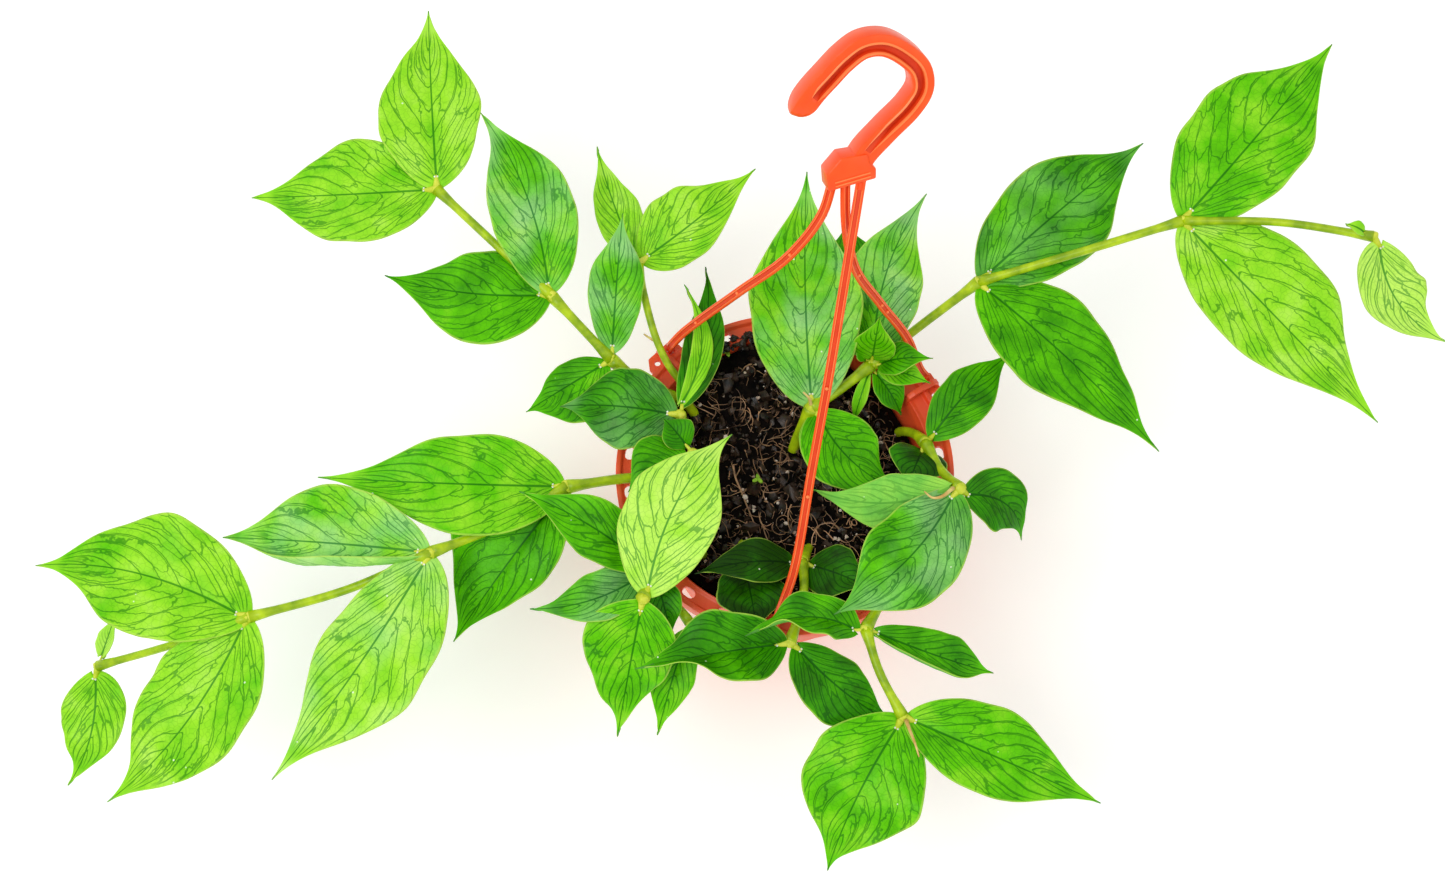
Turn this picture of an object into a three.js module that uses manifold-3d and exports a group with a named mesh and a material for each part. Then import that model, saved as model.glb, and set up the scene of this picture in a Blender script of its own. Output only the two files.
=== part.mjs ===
// A fishtail hoya growing in a hanging pot with its three-strand plastic hanger.
// Millimetres, +Z up. The origin is the centre of the pot's flat underside, which stands on z = 0.

import * as THREE from 'three';
import { mergeVertices } from 'three/addons/utils/BufferGeometryUtils.js';
import Module from 'manifold-3d';

const wasm = await Module();
wasm.setup();

// Pot: radii and heights of its wall and of the flange round its mouth.
const BASE_RADIUS = 47.5;
const FLANGE_RADIUS = 70;
const FLANGE_TOP = 106;
const WEB_TOP = 104;
const WEB_UNDER = 102;
const FLOOR_TOP = 2;
const POT_SIDES = 36;
const INNER_BASE_RADIUS = 45.9;
const INNER_TOP_RADIUS = 59.6;
const INNER_TOP = 100;
// Half section of the pot: its base, its wall, the flange with its skirt, and the inside.
const POT_SECTION = [
  [0, 0], [BASE_RADIUS, 0], [60.8, 98], [61.2, WEB_UNDER], [68, WEB_UNDER], [68, 97.5],
  [FLANGE_RADIUS, 97.5], [FLANGE_RADIUS, FLANGE_TOP - 0.5], [FLANGE_RADIUS - 2, FLANGE_TOP],
  [67.2, WEB_TOP], [62.6, WEB_TOP], [61, WEB_TOP + 1], [INNER_TOP_RADIUS, INNER_TOP],
  [INNER_BASE_RADIUS, FLOOR_TOP], [0, FLOOR_TOP],
];

// Slots through the flange, and drain holes through the floor.
const SLOT_COUNT = 24;
const SLOT = { radius: 64.9, long: 6, wide: 3.8 };
const SLOT_FREE_ANGLE = 9;
const DRAIN = { count: 6, ring: 30, radius: 4, sides: 10 };
// Height of the bodies that cut holes: more than the wall they go through.
const CUT_HIGH = 10;

// Ears on the flange that hold the strands. slotSide is +1 where the strand's slot is on the
// counter-clockwise side of the ear's rib, seen from above.
const EARS = [
  { angle: 31.5, slotSide: 1 },
  { angle: 134.5, slotSide: -1 },
  { angle: 262, slotSide: 1 },
];
const EAR = {
  reach: 76, root: 66, wide: 17, tipWide: 11,
  eye: 1.3, eyeSides: 8, eyeOffset: 3.9, eyeRadius: 72,
};
const EAR_SLOT = { radius: 72.3, offset: 3.8, along: 3.4, across: 3 };
const EAR_RIB = { wide: 2.4, thick: 2, top: 109.5 };
// Side view of an ear's rib: distance from the pot's axis, and height.
const RIB_SECTION = [
  [74, WEB_TOP - 0.5], [76, WEB_TOP - 0.5], [75.5, 107.5], [73, EAR_RIB.top], [63.5, EAR_RIB.top],
  [60.6, 108], [59.2, 101.8], [61.5, 101.8], [62.4, EAR_RIB.top - EAR_RIB.thick - 0.4],
  [64.2, EAR_RIB.top - EAR_RIB.thick], [72.4, EAR_RIB.top - EAR_RIB.thick], [73.8, 106],
];

// Hanger: flat strands, a base block that they meet in, and the hook above it.
const STRAND = { wide: 4.2, thick: 2, neck: 2.2, foot: 107.5, steps: 14 };
// The clip below an ear and the neck that joins it to its strand.
const CLIP = { along: 5.4, across: 2.6, high: 1.8, gap: 0.4, neckMiddle: 103.5, neckHigh: 10 };
const HOOK_BASE = new THREE.Vector3(20.7, 69.2, 235);
const HOOK_FACING = new THREE.Vector3(0.22, -0.77, 0.6).normalize();
const HOOK = {
  wide: 8.4, deep: 8, steps: 16,
  channel: 3.6, channelDeep: 2, channelFrom: 0.12, channelTo: 0.95, channelSteps: 14,
};
const HOOK_LINE = [[4, 1], [6.5, 5.5], [16, 13], [26.5, 20.5], [31.2, 26.5], [31.2, 34], [26.5, 41],
  [19.5, 46.5], [12, 47.5], [5, 44.5], [-2, 39.5], [-8.5, 34.5], [-13.5, 29.5]];
const HOOK_BLOCK = [[-9, -3.5], [9.5, -3], [10, 1], [7.5, 4], [-1, 6], [-8.5, 3.5]];
const HOOK_BLOCK_DEPTH = 9.5;
const HOOK_BLOCK_FRONT = 0.8;
// How far a cutting body starts outside the face that it cuts.
const CUT_CLEAR = 0.01;

// Each strand's route from its ear to the hook's block, and its foot's turn down through the ear.
const STRAND_ROUTES = {
  right: [[56.5, 42.5, 113], [50.5, 49.5, 128], [36.7, 51.9, 160], [24.8, 52.5, 192], [20, 58.1, 218]],
  left: [[-47, 53, 114], [-42.6, 54.5, 122], [-36.2, 54.8, 134], [-18.9, 53.5, 168], [-0.3, 54.2, 200],
    [11, 61.1, 221]],
  front: [[-5, -67, 111], [-1.6, -58.4, 113.5], [2.7, -47.2, 122], [9, -15.4, 152], [15.1, 14.6, 182],
    [19.7, 39.8, 209]],
};
const STRAND_ENDS = { left: [-6, -1.5, -3], right: [-1.2, -1.5, -3], front: [4.6, -1.5, -1] };
// The strands' broad faces look this way.
const STRAND_FACING = new THREE.Vector3(0, -0.34, 0.94);

// Soil: its level, how uneven its top is, and the heap that it rises to at the back of the pot:
// how high that is, which way it lies, and how far from the pot's axis it starts and ends.
const SOIL = { top: 92, under: 2.3, gap: 0.65, uneven: 1.4, sides: 24, edgeDrop: 2, rings: [0.72, 0.36] };
const HEAP = { high: 9, angle: 106, from: 24, to: 58 };
const HOLE_GAP = 0.35;
const ROOT_DEPTH = 14;

// Blades: thickness, the short stalk that each stands on, and the rows and columns of points on
// a large and a small one.
const BLADE_THICK = 0.7;
const WIDEST_AT = 0.41;
const BASE_FULLNESS = 0.6;
const BASE_LOBE = 0.1;
const STALK = { length: 4.5, half: 1.2, thick: 1.8 };
const LARGE_ROWS = [0.02, 0.16, 0.36, 0.56, 0.74, 0.88, 1];
const SMALL_ROWS = [0.06, 0.38, 0.7, 1];
const LARGE_COLUMNS = [-1, -0.5, 0, 0.5, 1];
const SMALL_COLUMNS = [-1, 0, 1];
const SMALL_BLADE = 27;
const TIP_HALF = 0.5;
const WAVES_PER_BLADE = 2.5;
const STEM_SIDES = 5;
// A node is this much thicker than the stem beside it.
const KNOT_SWELLING = 1.55;

const POT_COLOUR = '#d94b2e';
const HANGER_COLOUR = '#ff5e2c';
const SOIL_COLOUR = '#2b211c';

// The leafy stems. stem: its route, from the soil outwards. radius: at the soil and at the tip.
// leaves: at is the number of the route's point that the leaf grows from and tip is the leaf's tip.
// wide is its greatest width, lift how far its middle arches, bend how far it curves to its left,
// and skew how much wider its left half is. Angles are in degrees: roll lifts the left half, twist
// turns the tip against the base, fold raises both halves into a V, and curl rolls the left and
// the right margin further up. wave is the height of the margin's waves, and widest the share of
// the blade's length where it is widest.
const VINES = {
  stem_left_long: {
    radius: [2.2, 1.5],
    stem: [[-42, -4, 92], [-51, -3, 106], [-65, -5, 111], [-89, -11, 118], [-115, -27, 118],
      [-141, -42, 129], [-174, -55, 122], [-212, -67, 124], [-243, -76, 116], [-276, -82, 104]],
    leaves: [
      { at: 3, tip: [-189, -9, 124], wide: 42, lift: 6, bend: 2.5, roll: -8, fold: 8, wave: 1.5,
        widest: 0.34 },
      { at: 3, tip: [-135, -70, 96], wide: 46, lift: 4, skew: -0.26, fold: 6, wave: 2 },
      { at: 5, tip: [-228, -31, 113], wide: 42, lift: 3, skew: -0.1, roll: -12, fold: 6, curl: [195, 0],
        widest: 0.47 },
      { at: 5, tip: [-201, -129, 112], wide: 45, lift: 8, bend: 4.5, skew: 0.18, fold: 6, wave: 1 },
      { at: 7, tip: [-300, -45, 120], wide: 50, lift: 8, bend: -5, fold: 6, wave: 1.5 },
      { at: 7, tip: [-269, -135, 96], wide: 46, lift: 6, bend: 8, fold: 9, wave: 2 },
      { at: 9, tip: [-268, -63, 113], wide: 9, fold: 35 },
      { at: 9, tip: [-288, -127, 88], wide: 27, lift: 4, bend: 5.5, fold: 8, wave: 1.5, widest: 0.32 },
    ],
  },
  stem_top_left: {
    radius: [2.2, 1.7],
    stem: [[-37, 29, 92], [-44, 32, 106], [-58, 37, 108], [-72, 45, 117], [-96, 67, 132],
      [-118, 87, 136], [-145, 113, 138]],
    leaves: [
      { at: 3, tip: [-67, 100, 142], wide: 23, lift: 3, fold: 4, widest: 0.5 },
      { at: 3, tip: [-108, 27, 103], wide: 28, lift: 3, bend: 1, skew: 0.3, fold: 4 },
      { at: 4, tip: [-127, 144, 147], wide: 37, lift: 5, bend: -5, fold: 14 },
      { at: 4, tip: [-167, 80, 124], wide: 42, lift: 3, bend: 4.5, skew: 0.06, fold: 5, widest: 0.33 },
      { at: 6, tip: [-152, 196, 142], wide: 43, lift: 4, skew: 0.05, fold: 6, widest: 0.37 },
      { at: 6, tip: [-225, 115, 126], wide: 48, lift: 5, bend: 3, fold: 6, widest: 0.38 },
    ],
  },
  stem_top_middle: {
    radius: [1.7, 1.5],
    stem: [[-39, 35, 92], [-42, 37, 107], [-49, 45, 114], [-54, 55, 120], [-59, 73, 126], [-61, 83, 129]],
    leaves: [
      { at: 5, tip: [-12, 122, 139], wide: 33, lift: 5, bend: -3, skew: 0.1, fold: 6, widest: 0.3 },
      { at: 5, tip: [-80, 144, 117], wide: 20, lift: 2, bend: 1.5, fold: 10, widest: 0.3 },
    ],
  },
  stem_rim_left: {
    radius: [1.6, 1.6],
    stem: [[-41, 19, 92], [-43, 21, 116]],
    leaves: [
      { at: 1, tip: [-93, 26, 112], wide: 35, lift: 5, skew: 0.03, roll: -4, fold: 4 },
      { at: 1, tip: [-33, 88, 115], wide: 17, lift: 2, bend: -5, fold: 6 },
      { at: 1, tip: [-42, 78, 119], wide: 10, lift: 2, bend: -8, roll: 20, fold: 12 },
    ],
  },
  stem_centre_short: {
    radius: [1.5, 1.5],
    stem: [[-38, 5, 92], [-38, 4, 117]],
    leaves: [
      { at: 1, tip: [-64, -13, 117], wide: 27, lift: 3, bend: -2, fold: 6 },
      { at: 1, tip: [-50, 18, 119], wide: 15, lift: 2, fold: 10 },
    ],
  },
  stem_centre_left: {
    radius: [2.1, 2],
    stem: [[-34, -32, 92], [-41, -36, 107], [-47, -42, 114], [-53, -47, 120], [-57, -61, 130]],
    leaves: [
      { at: 4, tip: [-22, 6, 133], wide: 39, lift: 9, bend: 5, skew: -0.02, fold: 6 },
      { at: 4, tip: [-68, -108, 92], wide: 38, lift: 2, skew: -0.1, fold: 6, wave: 2.5, widest: 0.25 },
      { at: 3, tip: [-102, -63, 121], wide: 21, lift: 4, bend: 5, fold: 10 },
      { at: 3, tip: [-107, -17, 130], wide: 25, lift: 3, bend: -2, fold: 8 },
      { at: 3, tip: [-46, -72, 112], wide: 16, lift: 2, fold: 8 },
    ],
  },
  stem_front: {
    radius: [1.8, 1.8],
    stem: [[10, -29, 92], [7, -38, 101], [7, -52, 110], [4, -66, 114], [1, -75, 115]],
    leaves: [
      { at: 4, tip: [-60, -89, 128], wide: 34, lift: 3, roll: 14, twist: 100, fold: 30, wave: 2 },
      { at: 4, tip: [44, -103, 92], wide: 27, lift: 4, bend: -3.5, skew: -0.15, fold: 6 },
      { at: 1, tip: [-37, -47, 116], wide: 19, lift: 5, bend: -1, fold: 6, wave: 1.5 },
      { at: 1, tip: [34, -52, 111], wide: 24, lift: 3, fold: 6 },
    ],
  },
  stem_front_right: {
    radius: [2, 1.7],
    stem: [[44, -28, 92], [43, -36, 106], [38, -57, 114], [31, -70, 117], [36, -87, 116], [45, -104, 112]],
    leaves: [
      { at: 3, tip: [-17, -77, 132], wide: 20, lift: 5, bend: -5, roll: 18, twist: 110, fold: 25, wave: 2 },
      { at: 3, tip: [83, -84, 100], wide: 20, lift: 4, bend: -2, fold: 10, curl: [0, 120],
        widest: 0.6 },
      { at: 5, tip: [16, -160, 84], wide: 49, lift: 8, bend: -2, fold: 4, wave: 1.5 },
      { at: 5, tip: [123, -136, 99], wide: 36, lift: 7, bend: -1.5, skew: 0.06, fold: 6, wave: 1 },
    ],
  },
  stem_right_short: {
    radius: [2, 1.9],
    stem: [[49, 22, 92], [54, 17, 104], [58, 10, 112], [63, -4, 119], [69, -16, 131]],
    leaves: [
      { at: 2, tip: [95, 48, 118], wide: 23, lift: 4, bend: 1.5, skew: -0.1, fold: 6 },
      { at: 2, tip: [49, -11, 115], wide: 25, lift: 5, fold: 8 },
      { at: 4, tip: [18, -67, 128], wide: 38, lift: 6, bend: 6, skew: 0.05, fold: 10, widest: 0.52 },
      { at: 4, tip: [10, -16, 130], wide: 23, lift: 3, bend: 7, roll: 165, fold: 6 },
      { at: 4, tip: [96, -30, 106], wide: 26, lift: 4, bend: 6, fold: 6 },
    ],
  },
  stem_right_long: {
    radius: [2.3, 1.5],
    stem: [[4, 14, 92], [7, 19, 104], [11, 25, 113], [23, 33, 114], [36, 43, 116], [53, 56, 120],
      [79, 70, 140], [119, 77, 154], [158, 85, 166], [194, 80, 175], [228, 71, 181]],
    leaves: [
      { at: 2, tip: [9, 115, 150], wide: 47, lift: 8, bend: 2, fold: 5 },
      { at: 2, tip: [47, -10, 108], wide: 32, lift: 5, bend: -6, fold: 6 },
      { at: 2, tip: [14, -3, 103], wide: 14, lift: 2, fold: 10 },
      { at: 4, tip: [38, 54, 142], wide: 18, lift: 2, fold: 10 },
      { at: 4, tip: [60, 39, 133], wide: 15, lift: 3, fold: 6 },
      { at: 4, tip: [49, 26, 102], wide: 13, lift: 3, fold: 15 },
      { at: 4, tip: [29, 23, 100], wide: 7, lift: 4, fold: 30 },
      { at: 4, tip: [60, 34, 118], wide: 13, lift: 2, fold: 10 },
      { at: 4, tip: [28, 49, 126], wide: 8, lift: 1, fold: 10 },
      { at: 4, tip: [58, 105, 150], wide: 33, lift: 4, bend: 5.5, fold: 6 },
      { at: 4, tip: [26, 104, 126], wide: 34, lift: 2, bend: 1, fold: 6, widest: 0.6 },
      { at: 6, tip: [147, 125, 156], wide: 44, lift: 4, roll: 12, fold: 4, widest: 0.45 },
      { at: 6, tip: [151, 2, 124], wide: 42, lift: 8, bend: -1, fold: 6, wave: 1.5, widest: 0.38 },
      { at: 8, tip: [221, 157, 180], wide: 48, lift: 6, bend: -1.5, skew: 0.1, fold: 6, wave: 1 },
      { at: 8, tip: [232, 5, 150], wide: 50, lift: 8, bend: -4, skew: 0.08, fold: 6, wave: 1 },
      { at: 10, tip: [216, 74, 186], wide: 6, lift: 1, fold: 10 },
      { at: 10, tip: [255, 30, 172], wide: 27, lift: 3, bend: -9, fold: 8 },
    ],
  },
  stem_front_fan: {
    radius: [1.5, 1.5],
    stem: [[-18, -27, 92], [-17, -36, 99]],
    leaves: [
      { at: 1, tip: [-12, -70, 111.5], wide: 29, lift: 3, roll: -8, fold: 6, widest: 0.55 },
    ],
  },
  stem_front_corner: {
    radius: [1.6, 1.5],
    stem: [[-40, -28, 92], [-43, -31, 104], [-48, -38, 110], [-50, -49, 111], [-39, -66, 111.5]],
    leaves: [
      { at: 4, tip: [-52, -107, 90], wide: 18, lift: 4, fold: 8 },
    ],
  },
};

const LEAF_COLOURS = ['#6fae1d', '#8cc832', '#4f9a12'];

function radians(degrees) {
  return THREE.MathUtils.degToRad(degrees);
}

function vector(list) {
  return new THREE.Vector3(...list);
}

// Turns a closed geometry into a solid, leaving out the flat triangles at a lathe's axis.
function solid(geometry) {
  const bare = geometry.clone();
  bare.deleteAttribute('normal');
  bare.deleteAttribute('uv');
  const merged = mergeVertices(bare, 1e-4);
  const triangles = [];
  const index = merged.index.array;
  for (let i = 0; i < index.length; i += 3) {
    const [a, b, c] = [index[i], index[i + 1], index[i + 2]];
    if (a !== b && b !== c && c !== a) {
      triangles.push(a, b, c);
    }
  }
  return new wasm.Manifold(new wasm.Mesh({
    numProp: 3,
    vertProperties: new Float32Array(merged.attributes.position.array),
    triVerts: new Uint32Array(triangles),
  }));
}

function named(name, body, colour, roughness) {
  const { vertProperties, triVerts } = body.getMesh();
  const geometry = new THREE.BufferGeometry();
  geometry.setAttribute('position', new THREE.BufferAttribute(new Float32Array(vertProperties), 3));
  geometry.setIndex(new THREE.BufferAttribute(new Uint32Array(triVerts), 1));
  geometry.computeVertexNormals();
  const material = new THREE.MeshStandardMaterial({ color: colour, roughness, metalness: 0 });
  const mesh = new THREE.Mesh(geometry, material);
  mesh.name = name;
  return mesh;
}

function joined(bodies) {
  return bodies.reduce((all, body) => all.add(body));
}

// A box centred on the ring of the given radius, turned to face outwards at the given angle.
function boxOnRing(angle, radius, sideways, z, [radial, tangential, high]) {
  const box = new THREE.BoxGeometry(radial, tangential, high);
  box.translate(radius, sideways, z);
  box.rotateZ(radians(angle));
  return solid(box);
}

function potShell() {
  const section = POT_SECTION.map(([r, z]) => new THREE.Vector2(r, z));
  const lathe = new THREE.LatheGeometry(section, POT_SIDES);
  lathe.rotateX(Math.PI / 2);
  return solid(lathe);
}

// One ear: a plate that tapers outwards, a round eye, and a rib that arches in over the flange.
function earBody({ angle }) {
  const half = EAR.wide / 2;
  const tipHalf = EAR.tipWide / 2;
  const plate = new THREE.Shape([[EAR.root, -half], [FLANGE_RADIUS + 2, -half], [EAR.reach, -tipHalf],
    [EAR.reach, tipHalf], [FLANGE_RADIUS + 2, half], [EAR.root, half]]
    .map(([x, y]) => new THREE.Vector2(x, y)));
  const plateSolid = new THREE.ExtrudeGeometry(plate, { depth: WEB_TOP - WEB_UNDER, bevelEnabled: false });
  plateSolid.translate(0, 0, WEB_UNDER);
  const rib = new THREE.Shape(RIB_SECTION.map(([x, z]) => new THREE.Vector2(x, z)));
  const ribSolid = new THREE.ExtrudeGeometry(rib, { depth: EAR_RIB.wide, bevelEnabled: false });
  ribSolid.translate(0, 0, -EAR_RIB.wide / 2);
  ribSolid.rotateX(Math.PI / 2);
  plateSolid.rotateZ(radians(angle));
  ribSolid.rotateZ(radians(angle));
  return solid(plateSolid).add(solid(ribSolid));
}

function pot() {
  let body = potShell();
  for (let i = 0; i < SLOT_COUNT; i += 1) {
    const angle = (i + 0.5) * 360 / SLOT_COUNT;
    const near = EARS.some((ear) => Math.abs(((ear.angle - angle + 540) % 360) - 180) < SLOT_FREE_ANGLE);
    if (!near) {
      body = body.subtract(boxOnRing(angle, SLOT.radius, 0, WEB_TOP, [SLOT.wide, SLOT.long, CUT_HIGH]));
    }
  }
  for (let i = 0; i < DRAIN.count; i += 1) {
    const hole = new THREE.CylinderGeometry(DRAIN.radius, DRAIN.radius, CUT_HIGH, DRAIN.sides);
    hole.rotateX(Math.PI / 2);
    hole.translate(DRAIN.ring, 0, 0);
    hole.rotateZ(2 * Math.PI * i / DRAIN.count);
    body = body.subtract(solid(hole));
  }
  for (const ear of EARS) {
    body = body.add(earBody(ear));
    const eye = new THREE.CylinderGeometry(EAR.eye, EAR.eye, CUT_HIGH, EAR.eyeSides);
    eye.rotateX(Math.PI / 2);
    eye.translate(EAR.eyeRadius, -ear.slotSide * EAR.eyeOffset, WEB_TOP);
    eye.rotateZ(radians(ear.angle));
    body = body.subtract(solid(eye));
    const offset = ear.slotSide * EAR_SLOT.offset;
    const size = [EAR_SLOT.across, EAR_SLOT.along, CUT_HIGH];
    body = body.subtract(boxOnRing(ear.angle, EAR_SLOT.radius, offset, WEB_TOP, size));
  }
  return body;
}

// The directions in the hook's own plane: across, up and towards the front.
function hookPlane() {
  const front = HOOK_FACING;
  const across = new THREE.Vector3(-front.y, front.x, 0).normalize();
  const up = new THREE.Vector3().crossVectors(front, across);
  return { across, up, front };
}

function hookPoint(x, y, z) {
  const { across, up, front } = hookPlane();
  return HOOK_BASE.clone().addScaledVector(across, x).addScaledVector(up, y).addScaledVector(front, z);
}

// A flat outline in the hook's plane, as thick as depth, with its front at the given place.
function hookSlab(outline, depth, frontAt) {
  const { across, up, front } = hookPlane();
  const shape = new THREE.Shape(outline.map(([x, y]) => new THREE.Vector2(x, y)));
  const slab = new THREE.ExtrudeGeometry(shape, { depth, bevelEnabled: false });
  slab.translate(0, 0, frontAt - depth);
  slab.applyMatrix4(new THREE.Matrix4().makeBasis(across, up, front).setPosition(HOOK_BASE));
  return solid(slab);
}

// The outline of a band of the given width along the hook's line, between two shares of it.
function hookBand(wide, from, to, steps) {
  const line = new THREE.SplineCurve(HOOK_LINE.map(([x, y]) => new THREE.Vector2(x, y)));
  const left = [];
  const right = [];
  for (let i = 0; i <= steps; i += 1) {
    const share = from + (to - from) * i / steps;
    const point = line.getPointAt(share);
    const tangent = line.getTangentAt(share);
    left.push([point.x - tangent.y * wide / 2, point.y + tangent.x * wide / 2]);
    right.unshift([point.x + tangent.y * wide / 2, point.y - tangent.x * wide / 2]);
  }
  return [...right, ...left].reverse();
}

function strandBody(route, side) {
  const ear = EARS[{ right: 0, left: 1, front: 2 }[side]];
  const turned = radians(ear.angle);
  const offset = ear.slotSide * EAR_SLOT.offset;
  const foot = (radius, z) => new THREE.Vector3(
    radius * Math.cos(turned) - offset * Math.sin(turned),
    radius * Math.sin(turned) + offset * Math.cos(turned),
    z,
  );
  const start = foot(EAR_SLOT.radius, STRAND.foot);
  const points = [start, ...route.map(vector), hookPoint(...STRAND_ENDS[side])];
  const curve = new THREE.CatmullRomCurve3(points, false, 'centripetal');
  const steps = STRAND.steps;
  const frames = curve.computeFrenetFrames(steps, false);
  const middle = steps / 2;
  const broad = new THREE.Vector3().crossVectors(frames.tangents[middle], STRAND_FACING).normalize();
  const turn = Math.atan2(broad.dot(frames.binormals[middle]), broad.dot(frames.normals[middle]));
  const half = [STRAND.wide / 2, STRAND.thick / 2];
  const corners = [[-1, -1], [1, -1], [1, 1], [-1, 1]].map(([x, y]) => new THREE.Vector2(
    x * half[0] * Math.cos(turn) - y * half[1] * Math.sin(turn),
    x * half[0] * Math.sin(turn) + y * half[1] * Math.cos(turn),
  ));
  const strand = solid(new THREE.ExtrudeGeometry(new THREE.Shape(corners), {
    steps, extrudePath: curve, bevelEnabled: false,
  }));
  const neckSize = [STRAND.neck, STRAND.neck, CLIP.neckHigh];
  const neck = boxOnRing(ear.angle, EAR_SLOT.radius, offset, CLIP.neckMiddle, neckSize);
  const clipZ = WEB_UNDER - CLIP.gap - CLIP.high / 2;
  const clip = boxOnRing(ear.angle, EAR_SLOT.radius, offset, clipZ, [CLIP.across, CLIP.along, CLIP.high]);
  return joined([strand, neck, clip]);
}

function hanger() {
  const band = hookSlab(hookBand(HOOK.wide, 0, 1, HOOK.steps), HOOK.deep, 0);
  const channel = hookBand(HOOK.channel, HOOK.channelFrom, HOOK.channelTo, HOOK.channelSteps);
  const frontChannel = hookSlab(channel, HOOK.channelDeep, CUT_CLEAR);
  const backChannel = hookSlab(channel, HOOK.channelDeep, HOOK.channelDeep - HOOK.deep - CUT_CLEAR);
  const block = hookSlab(HOOK_BLOCK, HOOK_BLOCK_DEPTH, HOOK_BLOCK_FRONT);
  let body = band.subtract(frontChannel).subtract(backChannel).add(block);
  for (const [side, route] of Object.entries(STRAND_ROUTES)) {
    body = body.add(strandBody(route, side));
  }
  return body;
}

// Half the blade's width at a share of its length, against its widest place. It swells quickly
// from a rounded base and draws out into a long narrow tip.
function outline(share, widest) {
  if (share < 0) {
    return 0;
  }
  if (share < widest) {
    return Math.sin(Math.PI / 2 * (share / widest) ** BASE_FULLNESS);
  }
  return (1 + Math.cos(Math.PI * (share - widest) / (1 - widest))) / 2;
}

// The point and the upward direction of a blade at a share of its length and of its half width.
function bladePoint(leaf, base, tip, share, side) {
  const chord = new THREE.Vector3().subVectors(tip, base);
  const length = chord.length();
  const along = chord.clone().normalize();
  const left = new THREE.Vector3(0, 0, 1).cross(along).normalize();
  const up = new THREE.Vector3().crossVectors(along, left);
  const { lift = 0, bend = 0, roll = 0, twist = 0, fold = 0, curl = [0, 0] } = leaf;
  const { wave = 0, skew = 0, widest = WIDEST_AT } = leaf;
  const arch = 4 * share * (1 - share);
  const slope = 4 * (1 - 2 * share);
  const centre = base.clone().addScaledVector(chord, share).addScaledVector(up, lift * arch)
    .addScaledVector(left, bend * arch);
  const tangent = chord.clone().addScaledVector(up, lift * slope).addScaledVector(left, bend * slope)
    .normalize();
  const across = left.clone().addScaledVector(tangent, -left.dot(tangent)).normalize();
  const turn = radians(roll + twist * (share - 0.5));
  across.applyAxisAngle(tangent, turn);
  const normal = new THREE.Vector3().crossVectors(tangent, across);
  const uneven = 1 + Math.sign(side) * skew;
  const half = Math.max(leaf.wide / 2 * uneven * outline(share, widest), share < 0.5 ? STALK.half : TIP_HALF);
  const reach = Math.abs(side);
  const rolled = radians(side > 0 ? curl[0] : curl[1]) * (1 - share ** 3);
  const steps = 8;
  let sideways = 0;
  let rise = 0;
  for (let i = 0; i < steps; i += 1) {
    const angle = radians(fold) + rolled * ((i + 0.5) / steps * reach) ** 2;
    sideways += Math.cos(angle) * reach * half / steps;
    rise += Math.sin(angle) * reach * half / steps;
  }
  const ripple = Math.sin(2 * Math.PI * (WAVES_PER_BLADE * share + (side > 0 ? 0.1 : 0.55)) + length);
  rise += wave * ripple * reach ** 2 * Math.sin(Math.PI * share);
  const edgeAngle = radians(fold) + rolled * reach ** 2;
  const direction = Math.sign(side);
  const back = share < 0 ? 0 : BASE_LOBE * leaf.wide * reach ** 2 * (1 - share) ** 8;
  const point = centre.addScaledVector(across, direction * sideways).addScaledVector(normal, rise)
    .addScaledVector(tangent, -back);
  const facing = normal.clone().multiplyScalar(Math.cos(edgeAngle))
    .addScaledVector(across, -direction * Math.sin(edgeAngle));
  return { point, facing };
}

// A closed blade. Both faces are split into the same triangles, so they never cross.
function blade(leaf, base, tip) {
  const small = leaf.wide < SMALL_BLADE;
  const rows = [-STALK.length / tip.distanceTo(base), ...(small ? SMALL_ROWS : LARGE_ROWS)];
  const columns = small && !leaf.curl ? SMALL_COLUMNS : LARGE_COLUMNS;
  const positions = [];
  for (const face of [1, -1]) {
    for (const share of rows) {
      for (const side of columns) {
        const { point, facing } = bladePoint(leaf, base, tip, share, side);
        const thick = share < 0 ? STALK.thick : BLADE_THICK;
        point.addScaledVector(facing, face * thick / 2);
        positions.push(point.x, point.y, point.z);
      }
    }
  }
  const wide = columns.length;
  const under = rows.length * wide;
  const triangles = [];
  for (let row = 0; row < rows.length - 1; row += 1) {
    for (let column = 0; column < wide - 1; column += 1) {
      const a = row * wide + column;
      const [b, c, d] = [a + 1, a + wide, a + wide + 1];
      triangles.push(a, c, d, a, d, b);
      triangles.push(under + a, under + d, under + c, under + a, under + b, under + d);
    }
  }
  const rim = [];
  for (let column = 0; column < wide; column += 1) {
    rim.push(column);
  }
  for (let row = 1; row < rows.length; row += 1) {
    rim.push(row * wide + wide - 1);
  }
  for (let column = wide - 2; column >= 0; column -= 1) {
    rim.push((rows.length - 1) * wide + column);
  }
  for (let row = rows.length - 2; row > 0; row -= 1) {
    rim.push(row * wide);
  }
  rim.forEach((here, i) => {
    const next = rim[(i + 1) % rim.length];
    triangles.push(here, next, under + next, here, under + next, under + here);
  });
  const geometry = new THREE.BufferGeometry();
  geometry.setAttribute('position', new THREE.BufferAttribute(new Float32Array(positions), 3));
  geometry.setIndex(triangles);
  return solid(geometry);
}

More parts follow.
